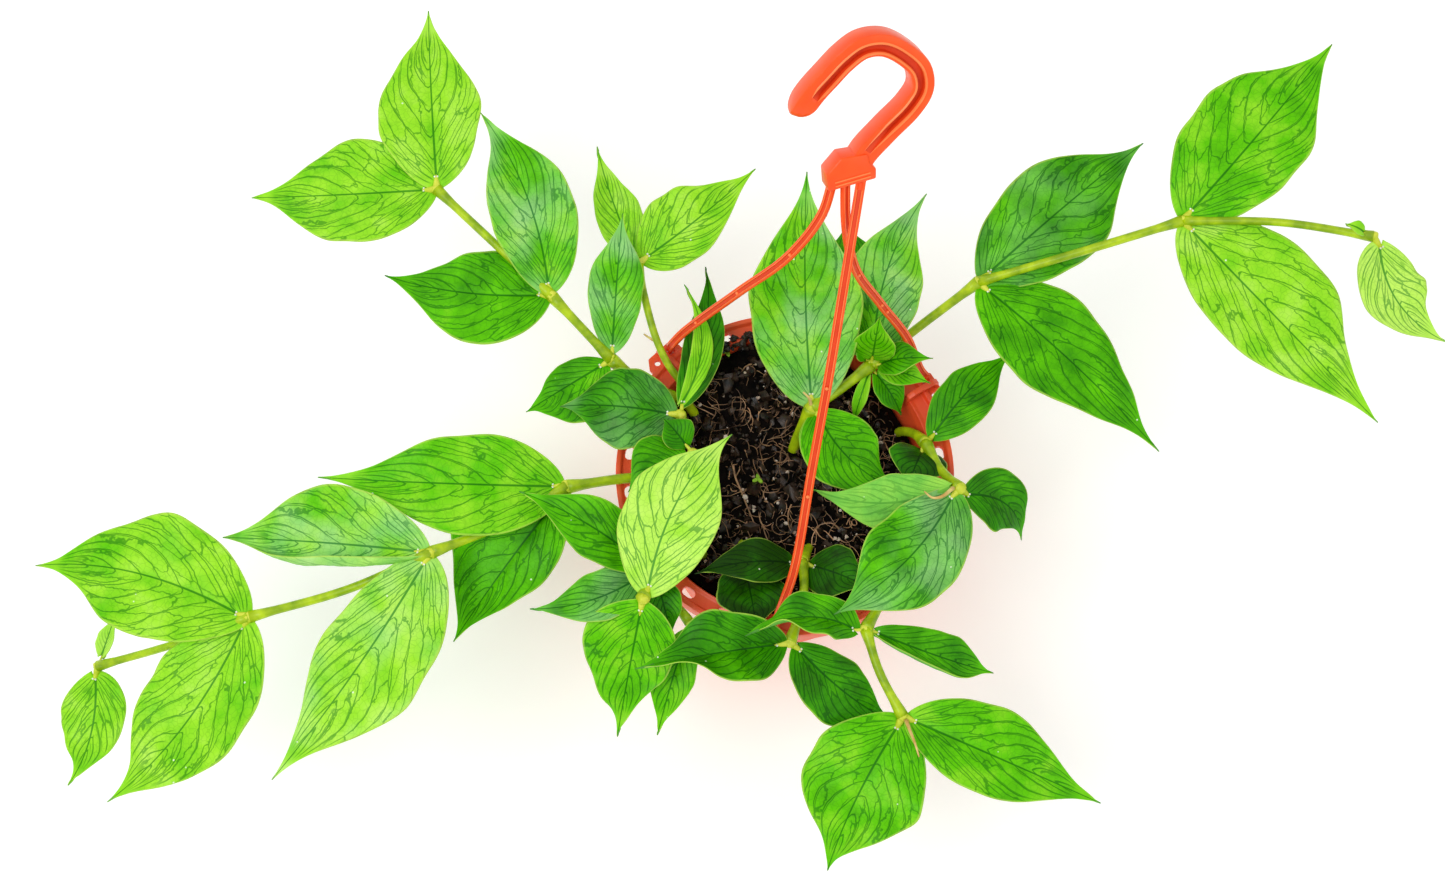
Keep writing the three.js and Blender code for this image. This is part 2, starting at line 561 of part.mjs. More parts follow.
// A length of stem along a curve, as a many-sided tube of one radius.
function tube(points, radius) {
  const curve = new THREE.CatmullRomCurve3(points, false, 'centripetal');
  const section = new THREE.Shape(Array.from({ length: STEM_SIDES }, (_, i) => {
    const angle = 2 * Math.PI * i / STEM_SIDES;
    return new THREE.Vector2(radius * Math.cos(angle), radius * Math.sin(angle));
  }));
  const steps = 2 * (points.length - 1);
  return solid(new THREE.ExtrudeGeometry(section, { steps, extrudePath: curve, bevelEnabled: false }));
}

function knot(point, radius) {
  const ball = new THREE.SphereGeometry(radius, STEM_SIDES, 3);
  ball.translate(point.x, point.y, point.z);
  return solid(ball);
}

function rootEnd(vine) {
  return vector(vine.stem[0]).add(new THREE.Vector3(0, 0, -ROOT_DEPTH));
}

function leafyStem(vine) {
  const route = vine.stem.map(vector);
  const last = route.length - 1;
  const thick = (i) => THREE.MathUtils.lerp(...vine.radius, i / last);
  const bearing = [...new Set(vine.leaves.map((leaf) => leaf.at))].sort((a, b) => a - b);
  const bodies = [];
  let from = 0;
  for (const to of bearing) {
    const points = route.slice(from, to + 1);
    if (from === 0) {
      points.unshift(rootEnd(vine));
    }
    bodies.push(tube(points, thick((from + to) / 2)));
    bodies.push(knot(route[to], thick(to) * KNOT_SWELLING));
    from = to;
  }
  for (const leaf of vine.leaves) {
    const tip = vector(leaf.tip);
    const node = route[leaf.at];
    const away = new THREE.Vector3().subVectors(tip, node).normalize();
    const base = node.clone().addScaledVector(away, STALK.length);
    bodies.push(blade(leaf, base, tip));
  }
  return joined(bodies);
}

// The hole that a stem stands in, a little wider and deeper than the stem.
function stemHole(vine) {
  const points = [rootEnd(vine), ...vine.stem.slice(0, 2).map(vector)];
  points[0].z -= HOLE_GAP;
  return tube(points, vine.radius[0] + 2 * HOLE_GAP);
}

// How far the heap at the back raises the soil at a place.
function heapHigh(x, y) {
  const out = x * Math.cos(radians(HEAP.angle)) + y * Math.sin(radians(HEAP.angle));
  return HEAP.high * THREE.MathUtils.smoothstep(out, HEAP.from, HEAP.to);
}

function soil() {
  const { top, under, gap, uneven, sides, edgeDrop, rings } = SOIL;
  const wallAt = (z) => THREE.MathUtils.mapLinear(
    z, FLOOR_TOP, INNER_TOP, INNER_BASE_RADIUS, INNER_TOP_RADIUS) - gap;
  const profile = [[0, under], [wallAt(under), under], [wallAt(top - edgeDrop), top - edgeDrop]];
  for (const share of rings) {
    profile.push([wallAt(top) * share, top]);
  }
  profile.push([0, top]);
  const lathe = new THREE.LatheGeometry(profile.map(([r, z]) => new THREE.Vector2(r, z)), sides);
  lathe.rotateX(Math.PI / 2);
  const position = lathe.attributes.position;
  for (let i = 0; i < position.count; i += 1) {
    const [x, y, z] = [position.getX(i), position.getY(i), position.getZ(i)];
    if (z > top - edgeDrop / 2) {
      const lumps = Math.sin(x * 0.21 + 1.3) * Math.cos(y * 0.17) + 0.6 * Math.sin(x * 0.4 - y * 0.33);
      position.setZ(i, top + uneven * lumps + heapHigh(x, y));
    } else if (z > under + edgeDrop) {
      const raised = z + heapHigh(x, y);
      const outwards = wallAt(raised) / wallAt(z);
      position.setXYZ(i, x * outwards, y * outwards, raised);
    }
  }
  let body = solid(lathe);
  for (const vine of Object.values(VINES)) {
    body = body.subtract(stemHole(vine));
  }
  return body;
}

const plant = new THREE.Group();
plant.add(named('pot', pot(), POT_COLOUR, 0.45));
plant.add(named('soil', soil(), SOIL_COLOUR, 0.95));
plant.add(named('hanger', hanger(), HANGER_COLOUR, 0.35));
Object.entries(VINES).forEach(([name, vine], i) => {
  plant.add(named(name, leafyStem(vine), LEAF_COLOURS[i % LEAF_COLOURS.length], 0.4));
});

export default plant;
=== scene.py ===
"""A potted climbing plant in a hanging pot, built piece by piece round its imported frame.

Sizes are in millimetres and become metres through MM. Z is up."""

import math
import random

import bmesh
import bpy
from mathutils import Matrix, Quaternion, Vector, noise


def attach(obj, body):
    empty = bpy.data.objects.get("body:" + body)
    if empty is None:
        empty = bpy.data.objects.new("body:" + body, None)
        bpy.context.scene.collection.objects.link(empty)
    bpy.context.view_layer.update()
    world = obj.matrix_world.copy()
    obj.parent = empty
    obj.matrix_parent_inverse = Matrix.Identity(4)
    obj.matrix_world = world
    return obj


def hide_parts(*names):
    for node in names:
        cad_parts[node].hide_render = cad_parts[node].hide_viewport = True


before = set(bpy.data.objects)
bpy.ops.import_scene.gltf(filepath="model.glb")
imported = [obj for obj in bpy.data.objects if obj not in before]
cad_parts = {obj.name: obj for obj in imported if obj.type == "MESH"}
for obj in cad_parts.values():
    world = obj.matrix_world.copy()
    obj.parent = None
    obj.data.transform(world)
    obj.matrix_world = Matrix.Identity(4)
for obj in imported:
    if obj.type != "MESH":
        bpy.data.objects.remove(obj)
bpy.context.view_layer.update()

MM = 0.001


# The photograph's view: a camera high above the plant's front edge, looking down at the pot.
CAMERA_TARGET = Vector((-25.8, 11.4, 109.9)) * MM
CAMERA_DISTANCE = 830 * MM
CAMERA_ELEVATION = math.radians(70.4)
CAMERA_LENS = 50


def aimed(thing, place, target):
    """Puts a camera or lamp at a place, looking at the target."""
    thing.location = place
    thing.rotation_euler = (Vector(target) - Vector(place)).to_track_quat("-Z", "Y").to_euler()
    bpy.context.scene.collection.objects.link(thing)
    return thing


camera = bpy.data.objects.new("camera", bpy.data.cameras.new("camera"))
camera.data.lens = CAMERA_LENS
view_back = Vector((0, -math.cos(CAMERA_ELEVATION), math.sin(CAMERA_ELEVATION)))
aimed(camera, CAMERA_TARGET + view_back * CAMERA_DISTANCE, CAMERA_TARGET)
bpy.context.scene.camera = camera
bpy.context.scene.view_settings.view_transform = "Standard"


# The studio: a seamless white floor, a bright even surround, and three soft lamps. The key lamp
# stands beside the camera, and a weak one at the back left gives the leaves their sheen. Their
# sizes and places are in metres.
FLOOR_HALF_SIDE = 3
FLOOR_COLOUR = "#fafaf9"
FLOOR_ROUGHNESS = 0.9
FLOOR_GLOW = 0.18
SURROUND_COLOUR = "#ffffff"
SURROUND_STRENGTH = 0.72
LAMP_TARGET = (0, 0, 0.1)
LAMPS = {
    "key": {"place": (-0.65, -0.45, 1.5), "size": 0.8, "watts": 10},
    "fill": {"place": (0.95, -0.45, 1.1), "size": 1.1, "watts": 3},
    "sheen": {"place": (-0.9, 0.9, 0.9), "size": 0.5, "watts": 1.5},
}


def linear(hex_colour):
    """An sRGB hex colour as linear red, green, blue and alpha."""
    shares = [int(hex_colour[i:i + 2], 16) / 255 for i in (1, 3, 5)]
    return [c / 12.92 if c <= 0.04045 else ((c + 0.055) / 1.055) ** 2.4 for c in shares] + [1]


def set_inputs(material, node, inputs):
    """Gives each of a node's named sockets its value, or the socket that feeds it."""
    for name, value in inputs.items():
        if isinstance(value, bpy.types.NodeSocket):
            material.node_tree.links.new(value, node.inputs[name])
        else:
            node.inputs[name].default_value = value


def add_node(material, kind, inputs=None, **settings):
    """Adds a shader node with its settings and inputs, and gives back its outputs."""
    added = material.node_tree.nodes.new("ShaderNode" + kind)
    for name, value in settings.items():
        setattr(added, name, value)
    set_inputs(material, added, inputs or {})
    return added.outputs


def new_material(name):
    """An empty material, and its surface shader."""
    material = bpy.data.materials.new(name)
    material.use_nodes = True
    return material, material.node_tree.nodes["Principled BSDF"]


def finished(name, mesh, materials, slot=None, sharp_from=180):
    """Makes an object of a mesh that is in place, and, when a slot is given, lets it ride on the
    plant's body.
    """
    data = bpy.data.meshes.new(name)
    mesh.to_mesh(data)
    mesh.free()
    for material in materials:
        data.materials.append(material)
    data.shade_smooth()
    data.set_sharp_from_angle(angle=math.radians(sharp_from))
    piece = bpy.data.objects.new(name, data)
    bpy.context.scene.collection.objects.link(piece)
    if slot:
        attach(piece, "root")
    return piece


floor_mesh = bmesh.new()
bmesh.ops.create_grid(floor_mesh, x_segments=1, y_segments=1, size=FLOOR_HALF_SIDE)
floor_paper, floor_shader = new_material("white_seamless_paper")
set_inputs(floor_paper, floor_shader, {
    "Base Color": linear(FLOOR_COLOUR), "Roughness": FLOOR_ROUGHNESS,
    "Emission Color": linear(FLOOR_COLOUR), "Emission Strength": FLOOR_GLOW})
floor = finished("floor", floor_mesh, [floor_paper])

surround = bpy.data.worlds.new("surround")
surround.use_nodes = True
set_inputs(surround, surround.node_tree.nodes["Background"], {
    "Color": linear(SURROUND_COLOUR), "Strength": SURROUND_STRENGTH})
bpy.context.scene.world = surround
for lamp_name, lamp in LAMPS.items():
    light = bpy.data.lights.new(lamp_name, "AREA")
    light.size = lamp["size"]
    light.energy = lamp["watts"]
    aimed(bpy.data.objects.new(lamp_name, light), lamp["place"], LAMP_TARGET)


# The pot: injection-moulded polypropylene, a tapered cup with a wide flange round its mouth.
# The flange has a row of slots and three ears, each with an eye, a slot and an arched rib.
BASE_RADIUS = 47.5
FLANGE_RADIUS = 70
FLANGE_TOP = 106
WEB_TOP = 104
WEB_UNDER = 102
POT_SECTION = [
    (0, 0), (BASE_RADIUS, 0), (60.8, 98), (61.2, WEB_UNDER), (68, WEB_UNDER), (68, 97.5),
    (FLANGE_RADIUS, 97.5), (FLANGE_RADIUS, FLANGE_TOP), (68, FLANGE_TOP), (67.2, WEB_TOP),
    (62.6, WEB_TOP), (61, WEB_TOP + 1), (59.6, 100), (45.9, 2), (0, 2),
]
POT_EDGE_ROUNDING = 0.45
POT_SEGMENTS = 144
SAME_PLACE = 0.01
SLOT_COUNT = 24
SLOT = {"radius": 64.9, "long": 6, "wide": 3.8}
EARS = [
    {"angle": 31.5, "slot_side": 1},
    {"angle": 134.5, "slot_side": -1},
    {"angle": 262, "slot_side": 1},
]
EAR_CLEARANCE = 9
EAR_OUTLINE = [(66, -8.5), (72, -8.5), (76, -5.5), (76, 5.5), (72, 8.5), (66, 8.5)]
EAR_INSET = 0.02
EAR_ROUNDING = 0.35
EAR_EYE = {"radius": 1.3, "ring": 72, "offset": 3.9, "sides": 16}
EAR_SLOT = {"ring": 72.3, "offset": 3.8, "along": 3.4, "across": 3}
RIB_SECTION = [
    (74, 103.5), (76, 103.5), (75.5, 107.5), (73, 109.5), (63.5, 109.5), (60.6, 108), (59.2, 101.8),
    (61.5, 101.8), (62.4, 107.1), (64.2, 107.5), (72.4, 107.5), (73.8, 106),
]
RIB_WIDE = 2.4
CUT_HIGH = 10
DRAIN = {"count": 6, "ring": 30, "radius": 4, "sides": 20}


def spun(section, segments, rounding=0):
    """A closed body of revolution about the Z axis, from a section in millimetres."""
    mesh = bmesh.new()
    verts = [mesh.verts.new((r * MM, 0, z * MM)) for r, z in section]
    for pair in zip(verts, verts[1:]):
        mesh.edges.new(pair)
    if rounding:
        bmesh.ops.bevel(mesh, geom=verts[1:-1], offset=rounding * MM, segments=3, profile=0.5,
                        affect="VERTICES", material=-1)
    geometry = mesh.verts[:] + mesh.edges[:]
    bmesh.ops.spin(mesh, geom=geometry, cent=(0, 0, 0), axis=(0, 0, 1), angle=2 * math.pi,
                   steps=segments, use_merge=True)
    bmesh.ops.remove_doubles(mesh, verts=mesh.verts, dist=SAME_PLACE * MM)
    bmesh.ops.recalc_face_normals(mesh, faces=mesh.faces)
    return mesh


def add_prism(mesh, outline, low, high, turn=Matrix.Identity(4), rounding=0, finish=0):
    """Adds a flat outline extruded from low to high along Z, then turned into its place."""
    verts = [mesh.verts.new((x * MM, y * MM, low * MM)) for x, y in outline]
    face = mesh.faces.new(verts)
    lifted = bmesh.ops.extrude_face_region(mesh, geom=[face])["geom"]
    top = [item for item in lifted if isinstance(item, bmesh.types.BMVert)]
    bmesh.ops.translate(mesh, verts=top, vec=(0, 0, (high - low) * MM))
    body = verts + top
    if rounding:
        edges = list(dict.fromkeys(edge for vert in body for edge in vert.link_edges))
        rounded = bmesh.ops.bevel(mesh, geom=edges, offset=rounding * MM, segments=2, profile=0.5,
                                  affect="EDGES", material=-1)
        corners = [vert for face in rounded["faces"] for vert in face.verts]
        body = list(dict.fromkeys(corners + [vert for vert in body if vert.is_valid]))
    bmesh.ops.transform(mesh, matrix=turn, verts=body)
    faces = list(dict.fromkeys(face for vert in body for face in vert.link_faces))
    bmesh.ops.recalc_face_normals(mesh, faces=faces)
    for face in faces:
        face.material_index = finish


def carved(name, body, operations):
    """The mesh left when helper bodies are joined to, or cut from, a body."""
    whole = finished(name, body, [])
    helpers = [(finished(name + "_helper", mesh, []), how) for mesh, how in operations]
    for helper, how in helpers:
        step = whole.modifiers.new(how, "BOOLEAN")
        step.object = helper
        step.operation = how
        step.solver = "EXACT"
    bpy.context.view_layer.update()
    shape = whole.evaluated_get(bpy.context.evaluated_depsgraph_get())
    mesh = bmesh.new()
    mesh.from_mesh(shape.to_mesh())
    for thing in [whole] + [helper for helper, _ in helpers]:
        bpy.data.objects.remove(thing)
    return mesh


def slot_outline(x, long, wide, points=5):
    """The outline of a slot with round ends, its middle at x and its long way along Y."""
    reach = (long - wide) / 2
    arc = [math.pi * i / points for i in range(points + 1)]
    far = [(wide / 2 * math.cos(a), reach + wide / 2 * math.sin(a)) for a in arc]
    return [(x + px, py) for px, py in far + [(-px, -py) for px, py in far]]


def round_outline(x, y, radius, sides):
    """The outline of a round hole with its middle at x, y."""
    turns = [2 * math.pi * i / sides for i in range(sides)]
    return [(x + radius * math.cos(turn), y + radius * math.sin(turn)) for turn in turns]


def oblong_outline(x, y, across, along):
    """The outline of an oblong with its middle at x, y."""
    corners = ((-1, -1), (1, -1), (1, 1), (-1, 1))
    return [(x + px * across / 2, y + py * along / 2) for px, py in corners]


pot_body = spun(POT_SECTION, POT_SEGMENTS, POT_EDGE_ROUNDING)
pot_ears = bmesh.new()
pot_cuts = bmesh.new()


def add_cut(outline, height, turn):
    """Cuts an upright hole through the pot's wall that lies at a height."""
    add_prism(pot_cuts, outline, height - CUT_HIGH / 2, height + CUT_HIGH / 2, turn)


STANDING = Matrix.Rotation(math.pi / 2, 4, "X")
for ear in EARS:
    turn = Matrix.Rotation(math.radians(ear["angle"]), 4, "Z")
    add_prism(pot_ears, EAR_OUTLINE, WEB_UNDER + EAR_INSET, WEB_TOP - EAR_INSET, turn, EAR_ROUNDING)
    add_prism(pot_ears, RIB_SECTION, -RIB_WIDE / 2, RIB_WIDE / 2, turn @ STANDING, EAR_ROUNDING)
    eye_aside = -ear["slot_side"] * EAR_EYE["offset"]
    add_cut(round_outline(EAR_EYE["ring"], eye_aside, EAR_EYE["radius"], EAR_EYE["sides"]),
            WEB_TOP, turn)
    slot_aside = ear["slot_side"] * EAR_SLOT["offset"]
    add_cut(oblong_outline(EAR_SLOT["ring"], slot_aside, EAR_SLOT["across"], EAR_SLOT["along"]),
            WEB_TOP, turn)
for i in range(SLOT_COUNT):
    angle = (i + 0.5) * 360 / SLOT_COUNT
    if all(abs((ear["angle"] - angle + 540) % 360 - 180) > EAR_CLEARANCE for ear in EARS):
        turn = Matrix.Rotation(math.radians(angle), 4, "Z")
        add_cut(slot_outline(SLOT["radius"], SLOT["long"], SLOT["wide"]), WEB_TOP, turn)
for i in range(DRAIN["count"]):
    turn = Matrix.Rotation(2 * math.pi * i / DRAIN["count"], 4, "Z")
    add_cut(round_outline(DRAIN["ring"], 0, DRAIN["radius"], DRAIN["sides"]), 0, turn)
pot_mesh = carved("pot_body", pot_body, [(pot_ears, "UNION"), (pot_cuts, "DIFFERENCE")])

# Moulded polypropylene: an orange red that is a little duller than the hanger's, half gloss,
# with a faint mottle from the mould, 11 mm to a patch, and dust and water marks that dull it in
# the same patches. Its moulded grain is 0.7 mm wide. Cells and patches are counted to a metre.
POT_TONES = ("#ec431c", "#ff6636")
POT_PATCHES = 90
POT_GRAIN = {"cells": 1400, "detail": 2, "strength": 0.12, "deep": 0.2}
POT_ROUGHNESS = (0.3, 0.55)
# The sockets of a Mix node that hold its two colours and its result.
MIX_FIRST, MIX_SECOND, MIX_RESULT = 6, 7, 2


def mottled(name, tones, patches, detail, roughness, shine=0.5, spread=None, grain=None):
    """A material that drifts between a dark and a light tone in patches.

    spread gives the noise values that have the first and the second tone, and roughness two
    values where it follows the patches. grain is a fine relief, deep in millimetres."""
    material, shader = new_material(name)
    where = add_node(material, "TexCoord")["Object"]
    pattern = add_node(material, "TexNoise", {
        "Vector": where, "Scale": patches, "Detail": detail})["Fac"]
    share = pattern
    if spread:
        share = add_node(material, "MapRange", {
            "Value": pattern, "From Min": spread[0], "From Max": spread[1]})["Result"]
    dark, light = tones
    tint = add_node(material, "Mix", {
        "Factor": share, MIX_FIRST: linear(dark), MIX_SECOND: linear(light)}, data_type="RGBA")
    if isinstance(roughness, tuple):
        roughness = add_node(material, "MapRange", {
            "Value": pattern, "To Min": roughness[0], "To Max": roughness[1]})["Result"]
    set_inputs(material, shader, {
        "Base Color": tint[MIX_RESULT], "Roughness": roughness, "Specular IOR Level": shine})
    if grain:
        bumps = add_node(material, "TexNoise", {
            "Vector": where, "Scale": grain["cells"], "Detail": grain["detail"]})["Fac"]
        relief = add_node(material, "Bump", {
            "Height": bumps, "Strength": grain["strength"], "Distance": grain["deep"] * MM})
        set_inputs(material, shader, {"Normal": relief["Normal"]})
    return material


pot_plastic = mottled("moulded_polypropylene_terracotta_red", POT_TONES, POT_PATCHES, 4,
                      POT_ROUGHNESS, grain=POT_GRAIN)
pot = finished("pot_moulded", pot_mesh, [pot_plastic], "pot_plastic", sharp_from=35)
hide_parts("pot")


# The soil: a moist, nearly black potting mix of peat, bark chips and coconut fibre, pressed into
# the pot to a finger's breadth below its rim. At the back it is heaped up to the rim, and some has
# spilt on the flange. Grains of perlite and small stones lie on top.
SOIL_TOP = 92
SOIL_RADIUS = 56.5
SOIL_RINGS = 56
SOIL_SEGMENTS = 180
SOIL_UNDERSIDE = [(SOIL_RADIUS - 0.6, 86), (45.3, 2.3), (0, 2.3)]
SOIL_EDGE = {"wide": 9, "drop": 2}
SOIL_LUMPS = {"high": 1.5, "step": 0.11, "roughness": 1.0, "finer": 2.1, "octaves": 4}
SOIL_GRAINS = {"high": 0.7, "step": 0.45}
SOIL_HEAP = {"high": 9, "angle": math.radians(106), "from": 24, "to": 58, "radius": 58.8}
FLANGE_STEP_RADIUS = 62.5
STREWN_RADIUS = SOIL_RADIUS - 3
SPILL = {"angles": (math.radians(76), math.radians(126)), "radii": (58.5, 64), "power": 1.3}
PEAT, BARK, PERLITE, FIBRE, SEEDLING = range(5)
CRUMB_UNEVEN = 0.45
CRUMB_SIZE_POWER = 2.5
CRUMBS = {
    "chips": {"count": 1100, "sizes": (0.5, 2.4), "flatness": 0.35, "finish": BARK, "rise": 0.1},
    "bark": {"count": 140, "sizes": (2.4, 4.6), "flatness": 0.3, "finish": BARK, "rise": 0.05},
    "spilt": {"count": 320, "sizes": (0.5, 1.9), "flatness": 0.4, "finish": BARK, "rise": 0.2},
    "perlite": {"count": 260, "sizes": (0.2, 1.2), "flatness": 0.7, "finish": PERLITE, "rise": 0.6},
}
FIBRES = {"count": 620, "steps": 11, "lengths": (3, 17), "length_power": 1.7, "bend": 0.38,
          "wander": 0.18, "humps": (0.3, 2.2), "rise": 0.2, "radii": (0.12, 0.24),
          "thicker": 0.2, "thick_power": 4, "taper": 0.6, "sides": 4, "fewest_points": 4,
          "reach": SOIL_RADIUS - 2}
SEEDLINGS = [(-23.9, 54.5), (-10.9, 0.3)]
SEED_LEAF = {"count": 3, "radius": 1.5, "out": 1.2, "turn": 1.9, "rise": 1.6, "step": 0.5}
SEED_LEAF_SQUEEZE = (1, 0.6, 0.3, 1)
BARE_ROOT = [(-21.4, 6.9), (-20.3, 1.5), (-17.8, -5), (-15.2, -12), (-11.4, -21.7)]
BARE_ROOT_ROD = {"rise": 0.5, "radius": 0.55, "taper": 0.012, "sides": 8}
rng = random.Random(11)


def heap_share(x, y):
    """How far up the heap at the back of the pot a place lies, from 0 to 1."""
    out = x * math.cos(SOIL_HEAP["angle"]) + y * math.sin(SOIL_HEAP["angle"])
    share = min(1, max(0, (out - SOIL_HEAP["from"]) / (SOIL_HEAP["to"] - SOIL_HEAP["from"])))
    return share ** 2 * (3 - 2 * share)


def soil_height(x, y):
    """The height of the soil's surface at a place, in millimetres."""
    place = Vector((x, y, 0))
    lumps = noise.fractal(place * SOIL_LUMPS["step"], SOIL_LUMPS["roughness"],
                          SOIL_LUMPS["finer"], SOIL_LUMPS["octaves"])
    grains = noise.noise(place * SOIL_GRAINS["step"])
    heap = heap_share(x, y)
    edge = max(0, math.hypot(x, y) - SOIL_RADIUS + SOIL_EDGE["wide"]) / SOIL_EDGE["wide"]
    fall = SOIL_EDGE["drop"] * min(1, edge) ** 2 * (1 - heap)
    surface = SOIL_TOP + SOIL_LUMPS["high"] * lumps + SOIL_GRAINS["high"] * grains
    return surface - fall + SOIL_HEAP["high"] * heap


def ground_height(x, y):
    """The height of what loose crumbs lie on: the soil, or the flange and its raised inner edge."""
    radius = math.hypot(x, y)
    if radius < SOIL_HEAP["radius"]:
        return soil_height(x, y)
    return WEB_TOP + (radius < FLANGE_STEP_RADIUS)


soil_rings = [(SOIL_RADIUS * (i + 1) / SOIL_RINGS, SOIL_TOP) for i in range(SOIL_RINGS)]
soil_mesh = spun([(0, SOIL_TOP)] + soil_rings + SOIL_UNDERSIDE, SOIL_SEGMENTS)
for vert in soil_mesh.verts:
    if vert.co.z > (SOIL_TOP - 1) * MM:
        x, y = vert.co.x / MM, vert.co.y / MM
        vert.co.z = soil_height(x, y) * MM
        spread = 1 + heap_share(x, y) * (SOIL_HEAP["radius"] / SOIL_RADIUS - 1)
        vert.co.x *= spread
        vert.co.y *= spread


def strewn_place():
    """A random place on the soil, as likely anywhere on it."""
    angle = rng.uniform(0, 2 * math.pi)
    radius = STREWN_RADIUS * math.sqrt(rng.random())
    return radius * math.cos(angle), radius * math.sin(angle)


def spilt_place():
    """A random place on the flange's inner part at the back, where the heap has spilt over."""
    angle = rng.uniform(*SPILL["angles"])
    inner, outer = SPILL["radii"]
    radius = inner + (outer - inner) * rng.random() ** SPILL["power"]
    return radius * math.cos(angle), radius * math.sin(angle)


def poured(mesh, part, finish=0):
    """Adds a small body that is finished to a larger one."""
    part.verts.index_update()
    copies = [mesh.verts.new(vert.co) for vert in part.verts]
    for face in part.faces:
        mesh.faces.new([copies[vert.index] for vert in face.verts]).material_index = finish
    part.free()


def ball(radius, place, rounds=2):
    """A small round body of an icosphere, with its radius and place in millimetres."""
    mesh = bmesh.new()
    bmesh.ops.create_icosphere(mesh, subdivisions=rounds, radius=radius * MM)
    mesh.transform(Matrix.Translation(Vector(place) * MM))
    return mesh


def add_crumbs(mesh, place, count, sizes, flatness, finish, rise):
    """Strews lumps over the soil: sizes are the smallest and largest radius in millimetres."""
    for _ in range(count):
        x, y = place()
        size = sizes[0] + (sizes[1] - sizes[0]) * rng.random() ** CRUMB_SIZE_POWER
        lump = ball(size, (0, 0, 0), 1)
        for vert in lump.verts:
            vert.co *= 1 + CRUMB_UNEVEN * rng.uniform(-1, 1)
        turn = Quaternion([rng.gauss(0, 1) for _ in range(4)]).normalized().to_matrix().to_4x4()
        squeeze = Matrix.Diagonal((1, rng.uniform(flatness, 1), rng.uniform(flatness, 1), 1))
        centre = Vector((x, y, ground_height(x, y) + rise * size)) * MM
        lump.transform(Matrix.Translation(centre) @ turn @ squeeze)
        poured(mesh, lump, finish)


def smooth_line(points, steps):
    """A smooth line through the points, as three.js draws its centripetal curves."""
    points = [Vector(point) for point in points]
    around = [2 * points[0] - points[1], *points, 2 * points[-1] - points[-2]]
    line = []
    for a, b, c, d in zip(around, around[1:], around[2:], around[3:]):
        before, gap, after = (math.sqrt((q - p).length) for p, q in ((a, b), (b, c), (c, d)))
        leave = ((b - a) / before - (c - a) / (before + gap) + (c - b) / gap) * gap
        arrive = ((c - b) / gap - (d - b) / (gap + after) + (d - c) / after) * gap
        for i in range(steps):
            s = i / steps
            line.append(b + leave * s + (3 * (c - b) - 2 * leave - arrive) * s ** 2
                        + (2 * (b - c) + leave + arrive) * s ** 3)
    return line + [points[-1]]


def headings(line):
    """The way that a line of points runs at each of them."""
    ways = [(b - a).normalized() for a, b in zip(line, line[1:])]
    return [ways[0]] + [(a + b).normalized() for a, b in zip(ways, ways[1:])] + [ways[-1]]


def grown_ring(mesh, ring):
    """Extrudes a closed ring of vertices: the new ring and its faces, in the old one's order."""
    edges = [mesh.edges.get(pair) for pair in zip(ring, ring[1:] + ring[:1])]
    grown = set(bmesh.ops.extrude_edge_only(mesh, edges=edges)["geom"])
    new_ring = [next(vert for edge in old.link_edges for vert in edge.verts if vert in grown)
                for old in ring]
    return new_ring, [next(face for face in edge.link_faces if face in grown) for edge in edges]


def round_rod(line, radii, sides):
    """A round rod along a line of points in millimetres, closed at both ends."""
    mesh = bmesh.new()
    line = [Vector(point) * MM for point in line]
    tangents = headings(line)
    turn = Vector((0, 0, 1)).rotation_difference(tangents[0])
    ring = bmesh.ops.create_circle(mesh, cap_ends=True, segments=sides, radius=1)["verts"]
    shape = [vert.co.copy() for vert in ring]
    for i, (point, tangent, radius) in enumerate(zip(line, tangents, radii)):
        if i:
            turn = tangents[i - 1].rotation_difference(tangent) @ turn
            ring, _ = grown_ring(mesh, ring)
        for vert, corner in zip(ring, shape):
            vert.co = point + turn @ (corner * radius * MM)
    mesh.faces.new(ring)
    bmesh.ops.recalc_face_normals(mesh, faces=mesh.faces)
    return mesh


def add_fibre(mesh):
    """Lays one curly fibre on the soil."""
    x, y = strewn_place()
    heading = rng.uniform(0, 2 * math.pi)
    bend = rng.uniform(-FIBRES["bend"], FIBRES["bend"])
    shortest, longest = FIBRES["lengths"]
    length = shortest + (longest - shortest) * rng.random() ** FIBRES["length_power"]
    steps = FIBRES["steps"]
    hump = rng.uniform(*FIBRES["humps"])
    line = []
    for i in range(steps):
        if math.hypot(x, y) > FIBRES["reach"]:
            break
        rise = hump * math.sin(math.pi * i / (steps - 1))
        line.append((x, y, soil_height(x, y) + FIBRES["rise"] + rise))
        heading += bend + rng.uniform(-FIBRES["wander"], FIBRES["wander"])
        x += length / steps * math.cos(heading)
        y += length / steps * math.sin(heading)
    if len(line) >= FIBRES["fewest_points"]:
        thick = rng.uniform(*FIBRES["radii"])
        thick += FIBRES["thicker"] * rng.random() ** FIBRES["thick_power"]
        radii = [thick * (1 - FIBRES["taper"] * i / len(line)) for i in range(len(line))]
        poured(mesh, round_rod(line, radii, FIBRES["sides"]), FIBRE)


